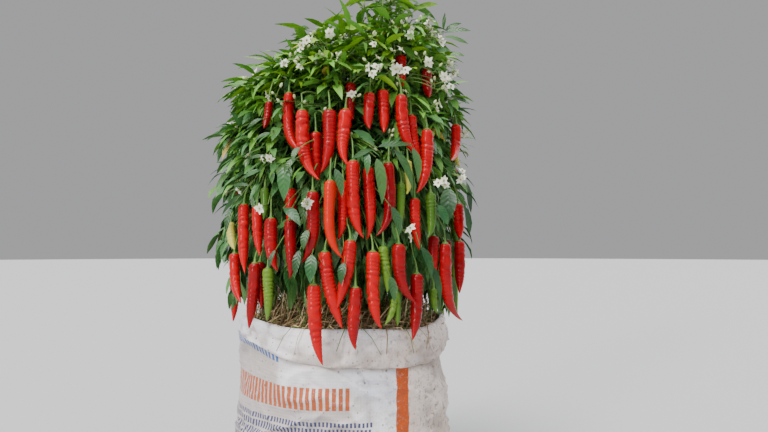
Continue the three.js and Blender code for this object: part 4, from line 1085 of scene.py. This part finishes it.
# Shoots of the four upper masses, to the top of the outline, with finer ones between them.
for quarter in range(4):
    number, azimuth = 8 + quarter, quarter_azimuth(quarter)
    for shoot in range(TOP_SHOOTS):
        outward = azimuth + (0, -29, 29)[shoot % 3] + either(5, number, shoot, 1)
        up = math.sqrt(1 - (TOP_REACHES[shoot // 3] / CROWN_RADIUS) ** 2)
        higher = TOP_LEAD[quarter] * 0.9 - 24 + either(15, number, shoot, 2)
        end = outline_point(outward, SHOULDER + up * DOME_HEIGHT) + UP * higher
        end = end - left_dip(end)
        curve = grow_twig(mass_stems[number], 0.3 + 0.1 * shoot, polar(outward, 6, 4), end)
        dress(curve, outward, 9, 0.95, 0, 750, 0, 109, number, shoot)
        spread_round(end, outward, 7, 1.1, 6, 770, 119, number, shoot)
        if quarter in (1, 2):
            grow_flowers(end + UP * 5, outward, 1 + int(2.2 * chance(number, shoot, 38)), 110, number, shoot)
    for shoot in range(FINE_SHOOTS):
        outward = azimuth + 44 * spread_evenly(shoot)
        reach = 34 + 112 * ((shoot + 0.5) / FINE_SHOOTS)
        up = math.sqrt(1 - (reach / CROWN_RADIUS) ** 2)
        inset = (10, 34)[shoot % 2]
        higher = TOP_LEAD[quarter] * 0.6 - 26 - inset
        end = outline_point(outward, SHOULDER + up * DOME_HEIGHT) + UP * higher
        end = end - left_dip(end)
        curve = grow_twig(mass_stems[number], 0.15 + 0.042 * shoot, polar(outward, 6, 4), end, 1.4)
        dress(curve, outward, 11, 0.95, -12, 730, inset, 111, number, shoot)

# Inner twigs, which fill the middle of the plant with shaded leaves.
for twig in range(INNER_TWIGS):
    quarter = twig % 4
    azimuth = quarter_azimuth(quarter) + 45 * spread_evenly(twig)
    level = 432 + 260 * ((twig + 0.5) / INNER_TWIGS)
    stem = (upper_limbs[quarter], outer_limbs[sectors_of(quarter)[twig // 4 % 2]])[twig // 2 % 2]
    end = polar(azimuth, 42 + 74 * chance(112, twig), level)
    curve = grow_twig(stem, 0.1 + 0.85 * chance(113, twig), polar(azimuth, 4, 12), end, 1.5)
    dress(curve, azimuth, 10, 1.6, -30, level, 90, 114, twig)

# The flowers and the single leaves that the photograph shows, each on a twig of its own.
for row, (turn, height, count) in enumerate(FRONT_FLOWERS):
    outward = FRONT + turn
    spot = outline_at(outward, height, -2)
    stem = mass_stems[mass_at(outward)]
    grow_twig(stem, (height - 415) / 320, polar(outward, 0, 14), spot - polar(outward, 10, -2), 1.1)
    grow_flowers(spot, outward, count, 115, row)
    if height > 640:
        grow_buds(spot - polar(outward, 8), outward, 2, 120, row)

for row, (*places, width, tint) in enumerate(FRONT_LEAVES):
    foot, tip = np.array(places, float).reshape(2, 3)
    set_leaf(foot, tip, width, tint, 121, row)
    azimuth = math.degrees(math.atan2(foot[1], foot[0]))
    if foot[2] > 730:
        stem, share = mass_stems[8 + (0 if foot[0] > 20 else 3)], 0.9
    else:
        stem, share = mass_stems[mass_at(azimuth)], (foot[2] - 430) / 320
    grow_twig(stem, share, polar(azimuth, 4, 12), foot, 1.1)

# Twigs and leaf stalks. Slim green shoots, slightly ribbed and each thinner towards its
# end, which bear the leaves on thin stalks, all grown as one with the stem.
MASS_STEPS, MASS_SIDES, TWIG_STEPS, TWIG_SIDES = 24, 8, 8, 5
PETIOLE, PETIOLE_RADII = 11, (0.85, 0.7, 0.4)
FRONT_DISTANCE = 800
mass_paths = along(np.stack(mass_stems), np.linspace(0, 1, MASS_STEPS))
mass_radii = np.broadcast_to(np.linspace(3.5, 2.4, MASS_STEPS), mass_paths.shape[:2])
mass_points, mass_faces = rods(mass_paths, mass_radii, MASS_SIDES)
twig_share = np.linspace(0, 1, TWIG_STEPS)
twig_paths = along(np.stack([curve for curve, _ in twigs]), twig_share)
twig_thick = np.array([thick for _, thick in twigs])[:, None] * (1.15 - 0.55 * twig_share)
twig_points, twig_faces = rods(twig_paths, twig_thick, TWIG_SIDES)


def heading_of(azimuth, rise):
    """Directions from their azimuth and their rise above level, in radians."""
    return np.stack([np.cos(rise) * np.cos(azimuth), np.cos(rise) * np.sin(azimuth), np.sin(rise)], -1)


def in_view(spots):
    """Where spots show in the picture: how far they are aside and up from the camera over how
    far they are ahead of it, in mm at the plant's front."""
    return FRONT_DISTANCE * spots[..., ::2] / spots[..., 1:2]


# Leaves that would hide a fruit placed from the photograph are left out, but for a few.
leaf_rows = np.array(leaves)
eye = 1000 * np.array(PHOTO_PLACE)
leaf_reach = leaf_rows[:, 5:6] * heading_of(*np.radians(leaf_rows[:, 3:5]).T)
leaf_spots = leaf_rows[:, None, :3] + leaf_reach[:, None] * np.array([0.35, 0.7, 1.0])[:, None] - eye
leaf_view = in_view(leaf_spots)
hides = np.zeros(len(leaves), bool)
for guides, girth, *_ in fruits[:len(FRONT_FRUIT)]:
    core = along(guides, np.linspace(0.0, 0.97, 10)) - eye
    apart = np.linalg.norm(leaf_view[:, :, None] - in_view(core), axis=-1)
    hides |= ((apart < girth + 5) & (leaf_spots[..., 1:2] < core[:, 1] + 13)).any((1, 2))
leaf_rows = leaf_rows[~hides | (chance(122, np.arange(len(leaves))) > 0.968) | (leaf_rows[:, 11] < 1)]
leaf_foot = leaf_rows[:, :3]
(leaf_azimuth, leaf_fall, leaf_length, leaf_width, leaf_roll, leaf_curl, leaf_tint, leaf_shade,
 stalk_scale) = leaf_rows.T[3:]
leaf_azimuth, leaf_fall = np.radians(leaf_azimuth), np.radians(leaf_fall)
petiole_length = (PETIOLE * stalk_scale * (0.6 + 0.7 * leaf_shade) * leaf_length / LEAF_LENGTH)[:, None]
petiole_out = heading_of(leaf_azimuth, np.clip(leaf_fall + 0.7, -0.7, 1.1))
blade_out = heading_of(leaf_azimuth, leaf_fall)
blade_foot = leaf_foot + petiole_length * (0.6 * petiole_out + 0.4 * blade_out)
petiole_paths = np.stack([leaf_foot, leaf_foot + 0.5 * petiole_length * petiole_out,
                          blade_foot + 2 * blade_out], 1)[leaf_tint != SHADED]
petiole_radii = np.broadcast_to(PETIOLE_RADII, petiole_paths.shape[:2])
petiole_points, petiole_faces = rods(petiole_paths, petiole_radii, 3)


def growing_finish(name, roughness, gloss, patches, dark, light, grain, depth):
    """The skin of a green or white part: its colour drifts from dark to light with noise of so
    many patches to the metre, each colour given with its place in the noise, and a finer noise
    roughens it."""
    made = finish_of(name, Roughness=roughness, Specular_IOR_Level=gloss)
    wire(made, Base_Color=steps_of(made, cloud_of(made, patches), dark, light))
    raise_by(made, cloud_of(made, grain), depth)
    return made


twig_finish = growing_finish("green_twig", 0.5, 0.4, 45, (0.3, (0.06, 0.13, 0.02)), (0.7, (0.16, 0.27, 0.06)),
                             500, 0.0004)
leafy_twigs = piece(
    "leafy_twigs", np.concatenate([mass_points, twig_points]),
    mass_faces + [part + len(mass_points) for part in twig_faces], twig_finish)
leaf_stalks = piece("leaf_stalks", petiole_points, petiole_faces, twig_finish)
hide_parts(*(f"foliage_outer_{s}" for s in range(1, 9)),
            *(f"foliage_top_{q}" for q in range(1, 5)))
for shoots in (leafy_twigs, leaf_stalks):
    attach(shoots, "root")

# Leaves. Thin blades, widest below the middle and drawn out to a point, folded a little
# along the midrib, arched down and wavy at the edge. Each grows from its stalk's end.
BLADE_SHARE = np.array([0, 0.09, 0.24, 0.44, 0.66, 0.86, 1])
BLADE_OUTLINE = np.array([0.05, 0.56, 0.92, 1.0, 0.76, 0.34, 0.0])
BLADE_STEPS, BLADE_COLUMNS = len(BLADE_SHARE), 3
# Upper, middle and shaded greens are dealt out by height and depth: painted light on top and painted shade
# inside, besides the young and turning leaves' own colours.
LEAF_COLOURS = {
    YOUNG: ("young_leaves", (0.105, 0.3, 0.01), 0.44),
    UPPER: ("upper_leaves", (0.062, 0.24, 0.03), 0.42),
    MIDDLE: ("middle_leaves", (0.035, 0.165, 0.045), 0.34),
    SHADED: ("shaded_leaves", (0.022, 0.105, 0.026), 0.33),
    TURNING: ("turning_leaves", (0.4, 0.36, 0.08), 0.5)}

blade_across = np.linspace(-1, 1, BLADE_COLUMNS)
arch = np.radians(16 + 40 * chance(np.arange(len(leaf_rows)), 71))[:, None]
slope = leaf_fall[:, None] + 0.25 * arch - arch * BLADE_SHARE
sway = leaf_azimuth[:, None] + 0.4 * leaf_curl[:, None] * BLADE_SHARE
tangent = heading_of(sway, slope)
rib_steps = (tangent[:, 1:] + tangent[:, :-1]) / 2 * np.diff(BLADE_SHARE)[:, None]
rib = blade_foot[:, None] + leaf_length[:, None, None] * np.concatenate(
    [np.zeros((len(leaf_rows), 1, 3)), np.cumsum(rib_steps, 1)], 1)
level_side = np.stack([np.sin(sway), -np.cos(sway), 0 * sway], -1)
upright = np.cross(level_side, tangent)
roll = (leaf_roll[:, None] * (0.6 + 0.8 * BLADE_SHARE))[..., None]
blade_side = level_side * np.cos(roll) + upright * np.sin(roll)
blade_up = np.cross(blade_side, tangent)
half_width = ((leaf_width[:, None] / 2) * BLADE_OUTLINE)[..., None]
folded = (0.24 + 0.22 * leaf_shade)[:, None, None]
wave = 0.13 * blade_across ** 2 * np.sin(
    9 * BLADE_SHARE[None, :, None] + 6 * leaf_curl[:, None, None] + 2.2 * np.sign(blade_across))
lift = half_width * (np.abs(blade_across) * folded + wave - 0.25 * np.abs(blade_across) ** 2 * folded)
blades = (rib[:, :, None] + (half_width * blade_across)[..., None] * blade_side[:, :, None]
          + lift[..., None] * blade_up[:, :, None])
blade_quads, blade_rows, blade_columns = grid_faces(BLADE_STEPS, BLADE_COLUMNS)
blade_chart = np.stack([blade_across[blade_columns], BLADE_SHARE[blade_rows]], -1).reshape(-1, 2)


def leaf_finish(name, colour, gloss):
    """A leaf's finish: paler midrib and side veins drawn on the leaf's own coordinates, a
    quilted swell between the veins, and colour that drifts from leaf to leaf and across."""
    made = finish_of(name, Roughness=gloss, Specular_IOR_Level=0.38)
    shade = layer(made, "Attribute", attribute_name="shade").outputs["Fac"]
    chart = layer(made, "UVMap", uv_map="chart").outputs[0]
    across, length = layer(made, "SeparateXYZ", {0: chart}).outputs[:2]
    aside = sum_of(made, "ABSOLUTE", across)
    slanted = sum_of(made, "MULTIPLY_ADD", aside, -0.16, length)
    comb = sum_of(made, "SINE", sum_of(made, "MULTIPLY", slanted, 44))
    veins = sum_of(made, "SMOOTH_MAX", sum_of(made, "MULTIPLY_ADD", comb, 1.6, -0.95),
                   sum_of(made, "MULTIPLY_ADD", aside, -9.0, 1.0), 0.1)
    veins = product_of(made, sum_of(made, "MAXIMUM", sum_of(made, "MINIMUM", veins, 1.0), 0.0), 0.14)
    cloud = cloud_of(made, 34, detail=2)
    # The shade mark is chance for most leaves, and painted shade for the low placed ones.
    tone = sum_of(made, "MULTIPLY_ADD", shade, 0.7, sum_of(made, "MULTIPLY_ADD", cloud, 0.7, 0.05))
    red, green, blue = colour
    deep, light = (0.52 * red, 0.52 * green, 0.52 * blue), (red * 2.1 + 0.025, green * 1.6, blue * 1.5)
    pale = (red * 2 + 0.05, green * 1.4 + 0.05, blue * 2 + 0.03, 1)
    body = steps_of(made, tone, (0.2, deep), (0.95, light))
    wire(made, Base_Color=blend_of(made, veins, body, pale))
    raise_by(made, comb, 0.0006, 0.2)
    return made


for tint, (name, colour, gloss) in LEAF_COLOURS.items():
    chosen = np.flatnonzero(leaf_tint == tint)
    first = (np.arange(len(chosen)) * BLADE_STEPS * BLADE_COLUMNS)[:, None, None]
    blade_piece = piece(name, blades[chosen].reshape(-1, 3), [(blade_quads[None] + first).reshape(-1, 4)],
                        leaf_finish(name + "_green", colour, gloss),
                        marks={"shade": np.repeat(leaf_shade[chosen], BLADE_STEPS * BLADE_COLUMNS)},
                        chart=np.tile(blade_chart, (len(chosen), 1)))
    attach(blade_piece, "root")

# Fruit. Long chillies, blunt at the shoulder and drawn to a bent point, with glossy thin
# skin that is creased across the upper half. Each hangs from its cap and stalk.
FRUIT_STEPS, FRUIT_SIDES, CREASE = 80, 11, 7.2
FRUIT_OUTLINE = ([0, 0.01, 0.025, 0.05, 0.09, 0.3, 0.5, 0.62, 0.72, 0.8, 0.88, 0.95, 1],
                 [0.4, 0.68, 0.86, 0.97, 1.02, 0.99, 0.93, 0.84, 0.71, 0.54, 0.34, 0.19, 0.02])
FRUIT_COLOURS = {
    RED: ("red_fruit", (0.24, 0.001, 0.004), (0.55, 0.0013, 0.0045), 1.0),
    DARK_RED: ("dark_fruit", (0.17, 0.001, 0.004), (0.3, 0.0015, 0.005), 0.9),
    ORANGE_RED: ("orange_fruit", (0.56, 0.012, 0.003), (0.7, 0.035, 0.004), 0.4),
    GREEN: ("green_fruit", (0.045, 0.13, 0.012), (0.14, 0.26, 0.025), 1.0),
    YELLOW: ("ripening_fruit", (0.4, 0.42, 0.05), (0.6, 0.52, 0.1), 0.5)}


def fruit_finish(name, deep, light, ridged):
    """Glossy fruit skin: colour that drifts along and between fruit, painted shade that
    darkens the creases, and a fine lumpiness.
    """
    made = finish_of(name, Roughness=0.25, Specular_IOR_Level=0.24)
    cloud = cloud_of(made, 26, detail=2)
    ripe = layer(made, "Attribute", attribute_name="ripe").outputs["Fac"]
    tone = sum_of(made, "MULTIPLY_ADD", ripe, 0.6, sum_of(made, "MULTIPLY", cloud, 0.6))
    # Painted shade: the crease mark darkens the skin in the creases.
    crease = layer(made, "Attribute", attribute_name="crease").outputs["Fac"]
    crease = product_of(made, crease, 0.34)
    body = steps_of(made, tone, (0.3, deep), (0.85, light))
    wire(made, Base_Color=blend_of(made, crease, body, (*(0.3 * part for part in deep), 1)))
    raise_by(made, cloud_of(made, 240, stretch=(0.7, 0.7, 1.6), detail=2), 0.0006, 0.35 * ridged + 0.05)
    return made


fruit_share = np.linspace(0, 1, FRUIT_STEPS) ** 0.97
for colour, (name, deep, light, ridged) in FRUIT_COLOURS.items():
    chosen = [row for row in fruits if row[2] == colour]
    number = np.arange(len(chosen))[:, None, None]
    paths = along(np.stack([row[0] for row in chosen]), fruit_share)
    girth = np.array([row[1] for row in chosen])[:, None, None]
    girth = girth * np.interp(fruit_share, *FRUIT_OUTLINE)[:, None]
    rough = np.array([row[3] for row in chosen])[:, None, None]
    turn = even_turns(FRUIT_SIDES)
    upper = (ease(fruit_share, 0.03, 0.1) * (1 - ease(fruit_share, 0.5, 0.9)))[:, None]
    down = np.cumsum(np.linalg.norm(np.diff(paths, axis=1, prepend=paths[:, :1]), axis=-1), 1)[..., None]
    level = (down / CREASE + 0.9 * (np.sin(down / 11 + 6.3 * chance(number, 81)) - 0.5)
             + 0.35 * np.sin(turn + 6.3 * chance(number, 82)) + 0.22 * np.sin(2 * turn + down / 7))
    swell = np.abs(np.sin(np.pi * level)) ** 1.2 - 0.6
    patch = np.stack(np.broadcast_arrays(1.9 * np.cos(turn) + 5 * number, 1.9 * np.sin(turn), down / 7), -1)
    depth = (0.5 + 0.5 * chance(number, np.floor(level).astype(int), 84)) * ease(rumple(patch, 86), 0.16, 0.6)
    lobes = (0.04 * np.cos(3 * turn + 6.3 * chance(number, 83))
             + 0.045 * np.sin(down / 15 + 6.3 * chance(number, 85)))
    spread = girth * (1 + lobes + 0.24 * ridged * (0.68 + 0.42 * rough) * depth * swell * upper)
    # How much painted shade darkens the skin in each crease.
    crease = np.clip(0.25 - 1.5 * swell, 0, 1) * depth * upper * ridged
    fruit_points, fruit_faces = rods(paths, spread, FRUIT_SIDES)
    fruit_piece = piece(name, fruit_points, fruit_faces, fruit_finish(name + "_skin", deep, light, ridged),
                        marks={"ripe": np.repeat(rough.ravel(), FRUIT_STEPS * FRUIT_SIDES),
                               "crease": crease.ravel()})
    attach(fruit_piece, "root")

# Fruit stalks. Pale green stalks, curved over from the twig, that swell into a small
# toothless cap which grips the fruit's shoulder.
STALK_RADII, CAP_RADII = (1.15, 1.1, 1.15, 1.3, 1.5, 1.9), (0.36, 0.54, 0.72, 0.5)
CAP_PLACES = np.array([-1.2, 0.2, 1.7, 2.2])[:, None]
stalk_guides = np.stack([
    [end, end + (guides[0] - end) * 0.3 + UP * 4, guides[0] + UP * 0.45 * np.linalg.norm(guides[0] - end),
     guides[0] + UP * 2] for guides, *_, end in fruits])
cap_foot = np.stack([guides[0] for guides, *_ in fruits])
cap_ahead = np.stack([guides[1] for guides, *_ in fruits]) - cap_foot
cap_ahead /= np.linalg.norm(cap_ahead, axis=-1, keepdims=True)
stalk_line = along(stalk_guides, np.linspace(0, 1, len(STALK_RADII)))
cap_line = cap_foot[:, None] + cap_ahead[:, None] * CAP_PLACES
cap_radii = np.array([girth for _, girth, *_ in fruits])[:, None] * CAP_RADII
stalk_radii = np.concatenate([np.broadcast_to(STALK_RADII, (len(fruits), len(STALK_RADII))), cap_radii], 1)
cap_points, cap_faces = rods(np.concatenate([stalk_line, cap_line], 1), stalk_radii, 8)
cap_finish = growing_finish("stalk_green", 0.42, 0.45, 60, (0.3, (0.055, 0.15, 0.02)),
                            (0.72, (0.14, 0.27, 0.045)), 420, 0.0004)
fruit_stalks = piece("fruit_stalks", cap_points, cap_faces, cap_finish)
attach(fruit_stalks, "root")

# Flowers. White stars of six pointed petals that open flat or bend back, round a small
# green heart with pale tips. They grow singly or in clusters from the forks of new twigs.
PETALS, PETAL_LENGTH = 6, 8.2
PETAL_OUTLINE = np.array([[0.0, 0.16], [0.3, 0.4], [0.62, 0.36], [1.0, 0.03]])
HEART_PLACES, HEART_RADII = np.array([-0.2, 0.12, 0.26, 0.34]), np.array([0.1, 0.19, 0.15, 0.04])
BUD_PLACES, BUD_RADII = np.array([-1.2, 0, 2.2, 4.6, 5.8]), (0.8, 1.7, 2.1, 1.4, 0.2)
flower_rows = np.array(flowers)
flower_spots, facing, flower_sizes, flower_turns = np.split(flower_rows, [3, 6, 7], 1)
flower_side = np.cross(facing, UP)
flower_side /= np.linalg.norm(flower_side, axis=-1, keepdims=True)
flower_up = np.cross(flower_side, facing)
bloom, petal = np.arange(len(flowers))[:, None], np.arange(PETALS)[None]
petal_turn = petal * 2 * np.pi / PETALS + 6.3 * flower_turns + either(0.22, bloom, petal, 91)
petal_cos, petal_sin = np.cos(petal_turn)[..., None], np.sin(petal_turn)[..., None]
petal_out = (petal_cos * flower_side[:, None] + petal_sin * flower_up[:, None])[:, :, None, None]
petal_side = (petal_cos * flower_up[:, None] - petal_sin * flower_side[:, None])[:, :, None, None]
petal_size = (PETAL_LENGTH * flower_sizes * (0.78 + 0.34 * chance(bloom, petal, 92)))[..., None, None, None]
petal_across = np.array([-1, 0, 1])[None, None, None, :, None]
petal_far = PETAL_OUTLINE[:, 0][None, None, :, None, None]
petal_half = PETAL_OUTLINE[:, 1][None, None, :, None, None] * 0.82
cupped = (0.75 * chance(bloom, 93) - 0.4 + either(0.22, bloom, petal, 94))[..., None, None, None]
petals = flower_spots[:, None, None, None] + petal_size * (
    petal_far * petal_out + petal_half * petal_across * petal_side
    + (cupped * petal_far ** 2 + 0.16 * np.abs(petal_across) * petal_half) * facing[:, None, None, None])
petal_first = (np.arange(len(flowers) * PETALS) * 3 * len(PETAL_OUTLINE))[:, None, None]
petal_faces = (grid_faces(len(PETAL_OUTLINE), 3)[0][None] + petal_first).reshape(-1, 4)
petal_finish = growing_finish("petal_white", 0.55, 0.5, 120, (0.3, (0.6, 0.64, 0.42)),
                              (0.62, (0.86, 0.86, 0.74)), 600, 0.0003)
flower_petals = piece("flower_petals", petals.reshape(-1, 3), [petal_faces], petal_finish)

heart_paths = flower_rows[:, None, :3] + (PETAL_LENGTH * HEART_PLACES)[None, :, None] * facing[:, None]
heart_radii = np.broadcast_to(PETAL_LENGTH * HEART_RADII, heart_paths.shape[:2])
heart_points, heart_faces = rods(heart_paths, heart_radii, 6)
heart_finish = growing_finish("flower_heart_green", 0.6, 0.5, 300, (0.35, (0.16, 0.24, 0.05)),
                              (0.65, (0.45, 0.4, 0.16)), 700, 0.0004)
flower_hearts = piece("flower_hearts", heart_points, heart_faces, heart_finish)

bud_rows = np.array(buds)
bud_paths = bud_rows[:, None, :3] + BUD_PLACES[:, None] * bud_rows[:, None, 3:]
bud_points, bud_faces = rods(bud_paths, np.broadcast_to(BUD_RADII, bud_paths.shape[:2]), 6)
bud_finish = growing_finish("bud_white", 0.55, 0.5, 90, (0.35, (0.32, 0.44, 0.13)),
                            (0.62, (0.68, 0.72, 0.45)), 600, 0.0003)
flower_buds = piece("flower_buds", bud_points, bud_faces, bud_finish)
for blossom in (flower_petals, flower_hearts, flower_buds):
    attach(blossom, "root")
